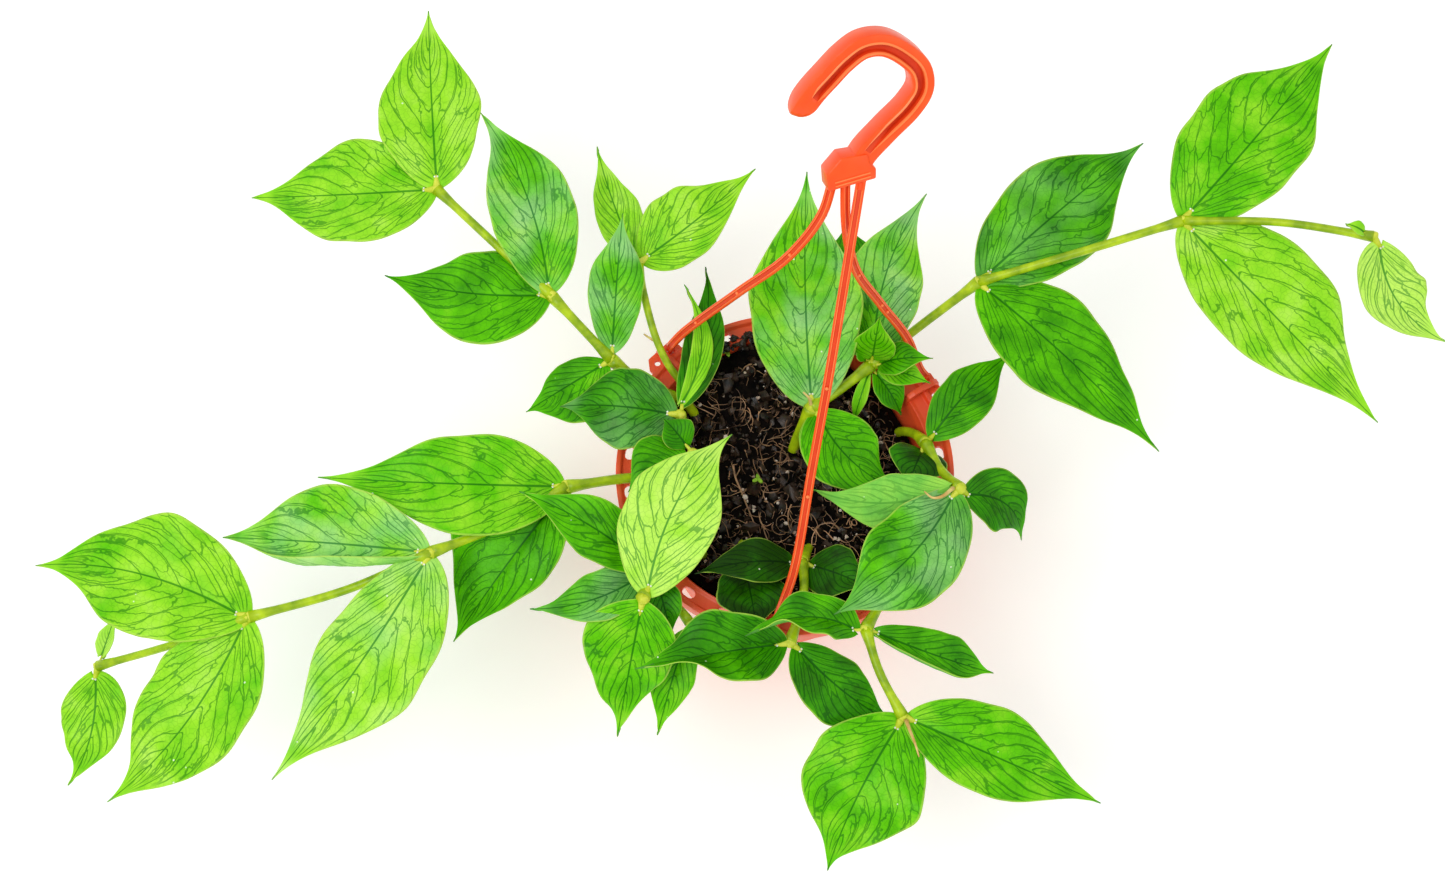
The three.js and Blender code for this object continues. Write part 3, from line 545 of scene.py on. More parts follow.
for crumb_name, crumbs in CRUMBS.items():
    add_crumbs(soil_mesh, spilt_place if crumb_name == "spilt" else strewn_place, **crumbs)
for _ in range(FIBRES["count"]):
    add_fibre(soil_mesh)
for x, y in SEEDLINGS:
    for i in range(SEED_LEAF["count"]):
        seed_leaf = ball(SEED_LEAF["radius"], (0, 0, 0))
        seed_leaf.transform(Matrix.Diagonal(SEED_LEAF_SQUEEZE))
        seed_leaf.transform(Matrix.Translation((SEED_LEAF["out"] * MM, 0, 0)))
        seed_leaf.transform(Matrix.Rotation(SEED_LEAF["turn"] * i + x, 4, "Z"))
        height = soil_height(x, y) + SEED_LEAF["rise"] + SEED_LEAF["step"] * i
        seed_leaf.transform(Matrix.Translation(Vector((x, y, height)) * MM))
        poured(soil_mesh, seed_leaf, SEEDLING)
root_line = [(x, y, soil_height(x, y) + BARE_ROOT_ROD["rise"]) for x, y in BARE_ROOT]
root_line = smooth_line(root_line, 6)
root_radii = [BARE_ROOT_ROD["radius"] - BARE_ROOT_ROD["taper"] * i for i in range(len(root_line))]
poured(soil_mesh, round_rod(root_line, root_radii, BARE_ROOT_ROD["sides"]), FIBRE)

# Peat is nearly black when it is moist. Bark chips differ in brown and are glossier; perlite is
# chalk white to beige and dull; fibre is dark to light brown, and a seedling a fresh soft green.
# Patches are 3 mm wide on peat and bark and 12 to 17 mm on the rest, and the grit 0.6 mm.
SOIL_FINISHES = {
    "moist_peat": {"tones": ("#010101", "#120b07"), "patches": 300, "roughness": 0.85,
                   "shine": 0.08},
    "bark_chips": {"tones": ("#020201", "#453226"), "patches": 300, "roughness": 0.3,
                   "shine": 0.4},
    "perlite_and_grit": {"tones": ("#9a765a", "#fff4e6"), "patches": 60, "roughness": 0.8,
                         "shine": 0.3},
    "coconut_fibre": {"tones": ("#1c0f08", "#dcaa80"), "patches": 70, "roughness": 0.4,
                      "shine": 0.4},
    "green_seedling": {"tones": ("#4f8a18", "#a4d63c"), "patches": 80, "roughness": 0.5,
                       "shine": 0.2},
}
SOIL_SPREAD = (0.35, 0.7)
SOIL_GRIT = {"cells": 1800, "detail": 3, "strength": 0.5, "deep": 0.5}
soil_materials = [mottled(name, detail=5, spread=SOIL_SPREAD, grain=SOIL_GRIT, **look)
                  for name, look in SOIL_FINISHES.items()]
soil = finished("soil_mix", soil_mesh, soil_materials, "soil", sharp_from=50)
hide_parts("soil")


# The hanger: one moulding of the same plastic, with three flat strands that clip into the ears,
# a block where they meet, and a hook whose faces have a channel along them.
# The hanger's finishes: plain plastic, a painted highlight on ridges, nubs and beads, and a painted
# shade in the channels.
BODY, PAINTED_HIGHLIGHT, PAINTED_SHADE = range(3)
HOOK_BASE = Vector((20.7, 69.2, 235))
HOOK_FACING = Vector((0.22, -0.77, 0.6)).normalized()
HOOK_ACROSS = Vector((-HOOK_FACING.y, HOOK_FACING.x, 0)).normalized()
HOOK_UP = HOOK_FACING.cross(HOOK_ACROSS)
HOOK = {"wide": 8.4, "deep": 10, "channel": 2.6, "channel_deep": 2.8, "channel_aside": -0.9,
        "ridge": 0.32, "rounding": 0.9, "tip": 0.06, "tip_aside": 1.6, "tip_least": 0.02}
HOOK_LINE = [(4, 1), (6.5, 5.5), (16, 13), (26.5, 20.5), (31.2, 26.5), (31.2, 34), (26.5, 41),
             (19.5, 46.5), (12, 47.5), (5, 44.5), (-2, 39.5), (-8.5, 34.5), (-16, 27)]
HOOK_CHANNEL = {"from": 0.1, "opening": 12, "to": 0.93, "closing": 25}
HOOK_GROOVED = (0.11, 0.93)
BLOCK = [(-9, -3.5), (9.5, -3), (10, 1), (8, 3.5), (7.5, 7.5), (-2.5, 8.5), (-8.5, 3.5)]
BLOCK_FRONT = 0.8
BLOCK_DEEP = 9.5
BLOCK_ROUNDING = 0.7
BLOCK_BEADS = {"lows": (-2.1, -0.6), "ends": (-6, 7.5), "rise": 0.5, "high": 0.4,
               "from": 0.6, "to": 1.1}
STRAND = {"wide": 3.7, "thick": 2, "groove": 1.5, "groove_deep": 0.45, "neck": 2.2,
          "rounding": 0.5, "ridge": 0.12, "opening": 8}
STRAND_GROOVED = (0.06, 1)
STRAND_ROUTES = {
    "right": [(56.5, 42.5, 113), (50.5, 49.5, 128), (36.7, 51.9, 160), (24.8, 52.5, 192),
              (20, 58.1, 218)],
    "left": [(-47, 53, 114), (-42.6, 54.5, 122), (-36.2, 54.8, 134), (-18.9, 53.5, 168),
             (-0.3, 54.2, 200), (11, 61.1, 221)],
    "front": [(-5, -67, 111), (-1.6, -58.4, 113.5), (2.7, -47.2, 122), (9, -15.4, 152),
              (15.1, 14.6, 182), (19.7, 39.8, 209)],
}
STRAND_ENDS = {"right": (-1.2, -1.5, -3), "left": (-6, -1.5, -3), "front": (4.6, -1.5, -1)}
STRAND_EARS = {"right": EARS[0], "left": EARS[1], "front": EARS[2]}
STRAND_FACING = Vector((0, -0.34, 0.94))
STRAND_FOOT = 107.5
STRAND_NUBS = [(-36.7, 54.4, 134.1), (-20, 53.1, 166.9), (-0.3, 53.8, 201), (26.6, 51.6, 187.2),
               (37.5, 51.4, 159), (40.2, 51.2, 152.7), (14, 8.7, 177.4), (7.5, -24.1, 145)]
NUB_RADIUS = 0.75
CLIP = {"along": 5.4, "across": 2.6, "low": 99.8, "high": 101.6, "rounding": 0.3}
LEAST_GROOVE = 0.02
LEAST_RIDGE = 0.01
# Which finish each side of a channelled bar's section has, on its front and then on its back.
FACE_FINISHES = [BODY] * 3 + [PAINTED_HIGHLIGHT] * 3 + [PAINTED_SHADE] * 3 + [PAINTED_HIGHLIGHT] * 3 + [BODY] * 3
SECTION_FINISHES = FACE_FINISHES + [BODY] + FACE_FINISHES[::-1] + [BODY]


def hook_place(x, y, z):
    """A place on the hook, which lies in a plane of its own, among the plant's places."""
    return HOOK_BASE + HOOK_ACROSS * x + HOOK_UP * y + HOOK_FACING * z


def add_band(mesh, line, facings, section_at, grooved):
    """Adds a bar whose section is given in millimetres across and along its facing.

    section_at(share) gives the section at a share of the bar's length, always with as many
    points. facings gives the way that the section's second axis looks at each point, and
    grooved the shares of the length between which the ridges carry the painted highlight and
    the channels the painted shade."""
    faces = []
    for i, (point, tangent, facing) in enumerate(zip(line, headings(line), facings)):
        across = tangent.cross(facing).normalized()
        up = across.cross(tangent)
        share = i / (len(line) - 1)
        places = [(point + across * x + up * y) * MM for x, y in section_at(share)]
        if i == 0:
            ring = [mesh.verts.new(place) for place in places]
            faces.append(mesh.faces.new(ring))
            continue
        ring, sides = grown_ring(mesh, ring)
        for vert, place in zip(ring, places):
            vert.co = place
        for side, finish in zip(sides, SECTION_FINISHES):
            side.material_index = finish * (grooved[0] < share < grooved[1])
        faces += sides
    faces.append(mesh.faces.new(ring))
    bmesh.ops.recalc_face_normals(mesh, faces=faces)


def channelled(wide, deep, groove, groove_deep, rounding, ridge, aside=0):
    """A bar's section with rounded corners and a groove between two ridges on its broad faces."""
    x, y, g, r = wide / 2, deep / 2, groove / 2, rounding
    corner = [(x, y - r), (x - 0.3 * r, y - 0.3 * r), (x - r, y)]
    lip = [(g + 3 * ridge, y), (g + 2 * ridge, y + ridge), (g + ridge, y + ridge), (g, y - ridge),
           (g * 0.85, y - groove_deep)]
    upper = corner + [(aside + px, py) for px, py in lip]
    upper += [(aside - px, py) for px, py in reversed(lip)]
    upper += [(-px, py) for px, py in reversed(corner)]
    return upper + [(px, -py) for px, py in reversed(upper)]


def hook_section(share):
    """The hook's section: its channels fade out towards its two ends, and its tip is rounded."""
    opened = max(0, (share - HOOK_CHANNEL["from"]) * HOOK_CHANNEL["opening"])
    closed = max(0, (HOOK_CHANNEL["to"] - share) * HOOK_CHANNEL["closing"])
    fade = min(1, opened, closed)
    past = max(0, share - 1 + HOOK["tip"]) / HOOK["tip"]
    size = math.sqrt(max(HOOK["tip_least"], 1 - past ** 2))
    section = channelled(HOOK["wide"], HOOK["deep"], HOOK["channel"],
                         LEAST_GROOVE + HOOK["channel_deep"] * fade, HOOK["rounding"],
                         LEAST_RIDGE + HOOK["ridge"] * fade, HOOK["channel_aside"])
    return [(x * size + (1 - size) * HOOK["tip_aside"], y * size) for x, y in section]


def strand_section(share):
    """A strand's section: its grooves fade in from its foot."""
    fade = min(1, share * STRAND["opening"])
    return channelled(STRAND["wide"], STRAND["thick"], STRAND["groove"],
                      LEAST_GROOVE + STRAND["groove_deep"] * fade, STRAND["rounding"],
                      STRAND["ridge"])


hanger_mesh = bmesh.new()
flat_line = smooth_line([(x, y, 0) for x, y in HOOK_LINE], 12)
hook_points = [hook_place(p.x, p.y, -HOOK["deep"] / 2) for p in flat_line]
add_band(hanger_mesh, hook_points, [HOOK_FACING] * len(hook_points), hook_section, HOOK_GROOVED)
hook_turn = Matrix((HOOK_ACROSS, HOOK_UP, HOOK_FACING)).transposed().to_4x4()
hook_turn.translation = HOOK_BASE * MM
add_prism(hanger_mesh, BLOCK, BLOCK_FRONT - BLOCK_DEEP, BLOCK_FRONT, hook_turn, BLOCK_ROUNDING)
# Two slim beads on the block's lower face, in the painted highlight finish.
for low in BLOCK_BEADS["lows"]:
    start, end = BLOCK_BEADS["ends"]
    far = low + BLOCK_BEADS["rise"]
    bead = [(start, low), (end, far), (end, far + BLOCK_BEADS["high"]),
            (start, low + BLOCK_BEADS["high"])]
    add_prism(hanger_mesh, bead, BLOCK_BEADS["from"], BLOCK_BEADS["to"], hook_turn, finish=PAINTED_HIGHLIGHT)
for strand_name, route in STRAND_ROUTES.items():
    ear = STRAND_EARS[strand_name]
    turn = Matrix.Rotation(math.radians(ear["angle"]), 4, "Z")
    aside = ear["slot_side"] * EAR_SLOT["offset"]
    foot = turn @ Vector((EAR_SLOT["ring"], aside, STRAND_FOOT))
    line = smooth_line([foot, *route, hook_place(*STRAND_ENDS[strand_name])], 8)
    ways = [(b - a).normalized() for a, b in zip(line, line[1:])]
    ways.append(ways[-1])
    broad = ways[len(line) // 2].cross(STRAND_FACING).normalized()
    facings = []
    for way in ways:
        broad = (broad - way * broad.dot(way)).normalized()
        facings.append(broad.cross(way))
    add_band(hanger_mesh, line, facings, strand_section, STRAND_GROOVED)
    neck = oblong_outline(EAR_SLOT["ring"], aside, STRAND["neck"], STRAND["neck"])
    add_prism(hanger_mesh, neck, CLIP["low"], STRAND_FOOT + 1, turn, CLIP["rounding"])
    clip = oblong_outline(EAR_SLOT["ring"], aside, CLIP["across"], CLIP["along"])
    add_prism(hanger_mesh, clip, CLIP["low"], CLIP["high"], turn, CLIP["rounding"])
# Small nubs on the strands, in the painted highlight finish.
for spot in STRAND_NUBS:
    poured(hanger_mesh, ball(NUB_RADIUS, spot), PAINTED_HIGHLIGHT)

# The hanger's polypropylene is a brighter orange, smooth from a polished mould, with a soft
# gloss and fine scuffs 1.1 mm wide. Its ridges, nubs and beads carry a painted highlight in a paler
# orange, and its channels a painted shade in a darker orange. Its patches are 8 mm wide.
HANGER_FINISHES = {
    "moulded_polypropylene_orange": {"tones": ("#f0440c", "#ff601c"), "roughness": 0.33},
    # A painted highlight: a paler orange on the ridges, nubs and beads.
    "painted_highlight_ridge": {"tones": ("#ff7434", "#ff9456"), "roughness": 0.28},
    # A painted shade: a darker, rougher orange in the channels.
    "painted_shade_channel": {"tones": ("#d0360c", "#ee4c18"), "roughness": 0.5},
}
HANGER_PATCHES = 120
HANGER_SHINE = 0.35
HANGER_SCUFFS = {"cells": 900, "detail": 3, "strength": 0.1, "deep": 0.2}
hanger_materials = [mottled(name, patches=HANGER_PATCHES, detail=3, shine=HANGER_SHINE,
                            grain=HANGER_SCUFFS, **look)
                    for name, look in HANGER_FINISHES.items()]
hanger = finished("hanger_moulded", hanger_mesh, hanger_materials, "hanger_plastic", sharp_from=40)
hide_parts("hanger")


# The leafy stems: smooth twining shoots of a climbing plant, rooted in the soil. Leaves stand in
# pairs on swollen nodes, each on a short thick stalk with two glands where its blade starts.
STEM, NODE, GLAND, SCALE = range(4)
STEM_ROOT_DEEP = 12
STEM_SIDES = 16
NODE_SWELLING = 1.45
NODE_REACH = 5.5
KNOT = {"size": 0.94, "rings": 10, "uneven": 0.3, "fineness": 700}
STALK = 4.5
STALK_ROD = {"radius": 1.7, "taper": 1.3, "taper_power": 1.6, "droop": 0.3, "sides": 12,
             "full_from_wide": 30}
GLAND_BALL = {"radius": 0.45, "out": 1.1, "aside": 0.6, "rise": 0.7, "from_wide": 15}
STUB_ROD = {"radius": 0.85, "taper": 0.6, "sides": 10}
LEAF_SPREAD_POWER = 0.6
LEAF_TIP_TAPER = 0.45
LEAF_BASE_LOBE = {"back": 0.1, "power": 8}
LEAF_BASE_HALF = 1.2
LEAF_TIP_HALF = 0.12
LEAF_MARGIN_WAVES = {"count": 2.5, "left_phase": 0.1, "right_phase": 0.55}
LEAF_WIDEST = 0.41
LEAF_SURFACE_LIFT = 0.35
LEAF_EDGE_THICK = 0.35
LEAF_FLESH_THICK = 0.35
LEAF_MOST_THICK = 2
LEAF_CURL_STEPS = 8
LEAF_CELLS = {"wide": 2.6, "long": 1.05, "closer_at_base": 1.2}
MIDRIB = {"thick": 1.1, "half": 1.3, "taper": 0.8, "groove": 0.4, "groove_half": 1.2}
SIDE_VEINS = 8
SIDE_VEIN_LEAN = 0.39
SIDE_VEIN_CURVE = 0.09
SIDE_VEIN_STAGGER = {"most": 0.45, "onset": 12}
SIDE_VEIN_START = 10
# The flesh between two side veins swells a little, but not by the midrib, margin, base or tip.
FIELD = {"swell": 0.28, "full_gap": 4, "by_midrib": 6, "margin_from": 0.9, "by_margin": 8,
         "by_base": 8, "by_tip": 6}
TIP_THICK = {"least": 0.3, "onset": 8}
RUFFLE_FULL_WIDE = 30
PATTERN_APART = 37
# Slow unevenness over a blade: its height, and how fast it changes lengthwise, across and from
# leaf to leaf. The outline's is a share of the width, the ruffle's in millimetres.
UNEVEN = {
    "outline": (0.07, (6, 9.1, 3.7)),
    "ruffle": (1.6, (8, 3.3, 5.1)),
    "vein_sway": (0.5, (3.1, 1.7, 7.3)),
}
BLADE_PLAIN = {"lift": 0, "bend": 0, "skew": 0, "roll": 0, "twist": 0, "fold": 0, "wave": 0,
               "curl": (0, 0), "widest": LEAF_WIDEST, "tone": 0.5, "bloom": 0}


def blade(at, tip, wide, **form):
    """A leaf on the stem's point number at, with its tip's place and its width in millimetres.

    lift and bend are how far its midrib arches up and to the left, and wave how high its
    margin's waves are, in millimetres. skew is by how much of its width the left half is wider.
    roll turns it about its midrib, twist turns its tip against its base, fold raises its halves
    and curl bends the left and the right margin up, in degrees. widest is where it is widest,
    as a share of its length. tone runs from 0, old and dark, to 1, young and pale, and its sheen
    setting is how strongly a painted whitish sheen shows in its clouds."""
    return {**BLADE_PLAIN, **form, "at": at, "tip": tip, "wide": wide}


def uneven(which, share, across, number):
    """A slow random unevenness at a place on the blade of a numbered leaf."""
    height, (lengthwise, sideways, apart) = UNEVEN[which]
    return height * noise.noise(Vector((share * lengthwise, across * sideways, number * apart)))


def leaf_half_width(share, widest):
    """Half the blade's width at a share of its length, against its widest place."""
    if share < widest:
        return math.sin(math.pi / 2 * (share / widest) ** LEAF_SPREAD_POWER)
    beyond = (share - widest) / (1 - widest)
    shoulder = (1 + math.cos(math.pi * beyond)) / 2
    return math.hypot(shoulder, LEAF_TIP_TAPER * beyond * (1 - beyond))


def vein_count(share, side, number):
    """How many side veins lie between the leaf's base and a point on its blade.

    The veins leave the midrib at a slant and bend forwards, so those that would start below
    the leaf's base come out of its stalk as a fan. Left and right ones stand in turn."""
    reach = abs(side)
    lean = SIDE_VEIN_LEAN * reach + SIDE_VEIN_CURVE * reach ** 2
    sway = uneven("vein_sway", share, side, number)
    turn = SIDE_VEIN_STAGGER["most"] * (side > 0) * min(1, reach * SIDE_VEIN_STAGGER["onset"])
    return (share - lean) * SIDE_VEINS + sway + turn + SIDE_VEIN_START


def leaf_row(leaf, base, tip, share):
    """The midrib's place at a share of the leaf's length, and the ways across and up there."""
    chord = tip - base
    along = chord.normalized()
    left = Vector((0, 0, 1)).cross(along).normalized()
    up = along.cross(left)
    arch = 4 * share * (1 - share)
    slope = 4 * (1 - 2 * share)
    rise, bend = leaf["lift"], leaf["bend"]
    centre = base + chord * share + up * rise * arch + left * bend * arch
    tangent = (chord + up * rise * slope + left * bend * slope).normalized()
    across = (left - tangent * left.dot(tangent)).normalized()
    turn = math.radians(leaf["roll"] + leaf["twist"] * (share - 0.5))
    across.rotate(Quaternion(tangent, turn))
    return centre, tangent, across, tangent.cross(across)


def leaf_point(leaf, row, length, share, side, number):
    """A point of the blade's upper face: its place, its distance across, its thickness below,
    and its veins, which are how many lie before it, its reach to the margin and their gap."""
    centre, tangent, across, normal = row
    way, start = (1, "left_phase") if side > 0 else (-1, "right_phase")
    reach = abs(side)
    wide = leaf["wide"] / 2 * (1 + way * leaf["skew"] * (side != 0))
    half = wide * leaf_half_width(share, leaf["widest"])
    half *= 1 + uneven("outline", share, way, number)
    half = max(half, LEAF_BASE_HALF * (1 - share), LEAF_TIP_HALF)
    curl = leaf["curl"][0 if side > 0 else 1]
    rolled = math.radians(curl) * (1 - share ** 3)
    fold = math.radians(leaf["fold"])
    sideways = rise = 0
    steps = LEAF_CURL_STEPS if curl else 1
    for i in range(steps):
        angle = fold + rolled * ((i + 0.5) / steps * reach) ** 2
        sideways += math.cos(angle) * reach * half / steps
        rise += math.sin(angle) * reach * half / steps
    phase = LEAF_MARGIN_WAVES["count"] * share + LEAF_MARGIN_WAVES[start]
    ripple = math.sin(2 * math.pi * phase + length)
    rise += leaf["wave"] * ripple * reach ** 2 * math.sin(math.pi * share)
    ruffle = uneven("ruffle", share, way, number) * reach ** 3 * math.sin(math.pi * share) ** 0.5
    rise += ruffle * min(1, leaf["wide"] / RUFFLE_FULL_WIDE)
    count = vein_count(share, side, number)
    nearest = abs((count + 0.5) % 1 - 0.5)
    steep = SIDE_VEINS * (SIDE_VEIN_LEAN + 2 * SIDE_VEIN_CURVE * reach)
    gap = 1 / math.hypot(SIDE_VEINS / length, steep / max(half, 1))
    inner = min(1, reach * FIELD["by_midrib"])
    inner *= min(1, max(0, (FIELD["margin_from"] - reach) * FIELD["by_margin"]))
    inner *= min(1, share * FIELD["by_base"]) * min(1, (1 - share) * FIELD["by_tip"])
    swell = FIELD["swell"] * inner * (2 * nearest) * min(1, gap / FIELD["full_gap"])
    groove = MIDRIB["groove"] * math.exp(-(reach * half / MIDRIB["groove_half"]) ** 2) * (1 - share)
    edge = fold + rolled * reach ** 2
    facing = normal * math.cos(edge) - across * way * math.sin(edge)
    back = LEAF_BASE_LOBE["back"] * leaf["wide"] * reach ** 2
    back *= (1 - share) ** LEAF_BASE_LOBE["power"]
    place = centre + across * way * sideways + normal * rise - tangent * back
    place += facing * (LEAF_SURFACE_LIFT + swell - groove)
    rib = MIDRIB["thick"] * (1 - MIDRIB["taper"] * share)
    rib *= math.exp(-(reach * half / MIDRIB["half"]) ** 2)
    thick = LEAF_EDGE_THICK + LEAF_FLESH_THICK * (1 - reach ** 2) + rib
    thick *= min(1, TIP_THICK["least"] + (1 - share) * TIP_THICK["onset"])
    return place, side * half, thick, (count, reach, gap)


def add_leaf(mesh, layers, node, leaf, number):
    """Adds one leaf's upper face; the piece's solidify modifier gives it its thickness."""
    tip = Vector(leaf["tip"])
    base = node + (tip - node).normalized() * STALK
    length = (tip - base).length
    grid = bmesh.new()
    bmesh.ops.create_grid(grid, x_segments=2 * max(4, round(leaf["wide"] / LEAF_CELLS["wide"])),
                          y_segments=max(14, round(length / LEAF_CELLS["long"])), size=1)
    grid.verts.index_update()
    row_at = {}
    copies = []
    for vert in grid.verts:
        side = vert.co.x if abs(vert.co.x) > 1e-6 else 0
        share = ((vert.co.y + 1) / 2) ** LEAF_CELLS["closer_at_base"]
        key = round(vert.co.y, 4)
        if key not in row_at:
            row_at[key] = leaf_row(leaf, base, tip, share)
        place, across, thick, veins = leaf_point(leaf, row_at[key], length, share, side, number)
        copy = mesh.verts.new(place * MM)
        copy[layers["place"]] = Vector((across, share * length, number * PATTERN_APART)) * MM
        copy[layers["veins"]] = Vector(veins)
        copy[layers["look"]] = Vector((leaf["tone"], leaf["bloom"], share))
        copy[layers["deform"]][0] = thick / LEAF_MOST_THICK
        copies.append(copy)
    for face in grid.faces:
        mesh.faces.new([copies[vert.index] for vert in reversed(face.verts)])
    grid.free()


def internode(route, radii, start, end):
    """The rod between two leafy nodes, swollen towards them; the first one starts in the soil."""
    points = route[start:end + 1]
    if start == 0:
        points = [route[0] - Vector((0, 0, STEM_ROOT_DEEP))] + points
    line = smooth_line(points, 8)
    thick = radii[0] + (radii[1] - radii[0]) * (start + end) / 2 / (len(route) - 1)
    lengths = [0]
    for a, b in zip(line, line[1:]):
        lengths.append(lengths[-1] + (b - a).length)
    swollen = []
    for reach in lengths:
        near = min(reach if start else lengths[-1], lengths[-1] - reach)
        swelling = (NODE_SWELLING - 1) * math.exp(-(near / NODE_REACH) ** 2)
        swollen.append(thick * (1 + swelling))
    return round_rod(line, swollen, STEM_SIDES)


def knot(place, thick):
    """The uneven knob of a node."""
    mesh = bmesh.new()
    bmesh.ops.create_uvsphere(mesh, u_segments=STEM_SIDES, v_segments=KNOT["rings"],
                              radius=thick * KNOT["size"] * MM)
    for vert in mesh.verts:
        vert.co *= 1 + KNOT["uneven"] * noise.noise(vert.co * KNOT["fineness"] + place)
        vert.co += place * MM
    return mesh


def add_stalk(shoot, node, leaf):
    """Adds a leaf's stalk, which ends in the blade's midrib, and its two glands."""
    away = (Vector(leaf["tip"]) - node).normalized()
    droop = Vector((0, 0, -STALK_ROD["droop"]))
    line = smooth_line([node, node + away * STALK / 2, node + away * STALK * 1.1 + droop,
                        node + away * STALK * 2 + droop], 3)
    slim = min(1, leaf["wide"] / STALK_ROD["full_from_wide"])
    shares = [i / (len(line) - 1) for i in range(len(line))]
    radii = [slim * (STALK_ROD["radius"] - STALK_ROD["taper"] * share ** STALK_ROD["taper_power"])
             for share in shares]
    poured(shoot, round_rod(line, radii, STALK_ROD["sides"]), NODE)
    if leaf["wide"] > GLAND_BALL["from_wide"]:
        for way in (-1, 1):
            aside = Vector((-away.y, away.x, 0)).normalized() * way * GLAND_BALL["aside"]
            spot = node + away * (STALK + GLAND_BALL["out"]) + aside
            spot += Vector((0, 0, GLAND_BALL["rise"]))
            poured(shoot, ball(GLAND_BALL["radius"], spot), GLAND)


def leafy_stem(name, radii, route, leaves, stubs=()):
    """One shoot: its internodes and nodes as one piece and its leaves as another.

    stubs are lines along which a short aerial root or a dried bud scale stands."""
    route = [Vector(point) for point in route]
    bearing = sorted({leaf["at"] for leaf in leaves})
    shoot = bmesh.new()
    for start, end in zip([0] + bearing, bearing):
        poured(shoot, internode(route, radii, start, end), STEM)
    for at in bearing:
        thick = radii[0] + (radii[1] - radii[0]) * at / (len(route) - 1)
        poured(shoot, knot(route[at], thick * NODE_SWELLING), NODE)
    for leaf in leaves:
        add_stalk(shoot, route[leaf["at"]], leaf)
    for stub in stubs:
        line = smooth_line(stub, 4)
        slim = [STUB_ROD["radius"] - STUB_ROD["taper"] * i / len(line) for i in range(len(line))]
        poured(shoot, round_rod(line, slim, STUB_ROD["sides"]), SCALE)
    vine = finished(name + "_shoot", shoot, shoot_materials, "foliage")
    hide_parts(name)
    blades = bmesh.new()
    layers = {which: blades.verts.layers.float_vector.new("leaf_" + which)
              for which in ("place", "veins", "look")}
    layers["deform"] = blades.verts.layers.deform.verify()
    for number, leaf in enumerate(leaves):
        add_leaf(blades, layers, route[leaf["at"]], leaf, number + len(name) * 3)
    foliage = finished(name + "_leaves", blades, [leaf_top, leaf_under, leaf_margin], "foliage")
    foliage.vertex_groups.new(name="thickness")
    flesh = foliage.modifiers.new("flesh", "SOLIDIFY")
    flesh.thickness = LEAF_MOST_THICK * MM
    flesh.offset = -1
    flesh.vertex_group = "thickness"
    flesh.material_offset = 1
    flesh.material_offset_rim = 2
    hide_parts(name)


# Leaf skin: a waxy cuticle over green flesh. Old leaves are dark green and young ones yellow
# green. Darker side veins run forwards in near parallel lines and join by the margin in a net of
# long cells, with a finer net of 2 mm cells inside these; the margin itself is pale.
LEAF_TONES = {0: "#1d4800", 0.25: "#348c00", 0.5: "#5cc000", 0.75: "#98de2a", 1: "#bdec60"}
# Painted sheen: a whitish green mixed into some leaves' colour in cloudy patches.
LEAF_PAINTED_SHEEN = "#cfe9c4"
UNDERSIDE_VEIL = "#d3e6b8"
VEIN_SHADE = "#5c9c84"
MARGIN_LINE = "#c3e45e"
PALE_SPECKS = "#e8f2d8"
MARGIN_FLESH = "#a4cf3c"
CELLS_PER_VEIN = 1.15
CELL_LONG = 8.5
CELL_UNEVEN = 0.8
CELL_STRAY = 0.5
VEIN_WOBBLE = 0.22
PATCH_CONTRAST = 0.75
# Noise over the blade: its cells a metre, so 4, 3, 13 and 25 mm wide, and its detail.
LEAF_NOISE = {"wobble": (260, 2), "stray": (330, 2), "patches": (75, 4), "clouds": (40, 3)}
NET_CELLS = 440
SPECK_CELLS = 90
# How strongly each mark shows: the value where it is gone, the value where it is full, and its
# most. Distances from the side veins and the gap between them are in millimetres.
LEAF_FADES = {
    "side_vein": (0.27, 0.11, 0.9),
    "short_of_margin": (0.92, 0.8, 1),
    "cell_vein": (0.22, 0.09, 0.8),
    "off_midrib": (0.04, 0.16, 1),
    "wide_gap": (1.2, 3.2, 1),
    "fine_net": (0.07, 0.02, 0.22),
    "midrib": (1.3, 0.7, 1),
    "any_gap": (0.5, 1.6, 1),
    "clouds": (0.35, 0.7, 1),
    "margin": (0.95, 0.985, 0.5),
    "specks": (0.04, 0.025, 0.8),
}
MIDRIB_LINE_HALF = 0.5 * MM
MIDRIB_LINE_TAPER = 0.34 * MM
LEAF_SHINE = 0.1
VEIN_RELIEF = {"strength": 0.6, "deep": 0.2}


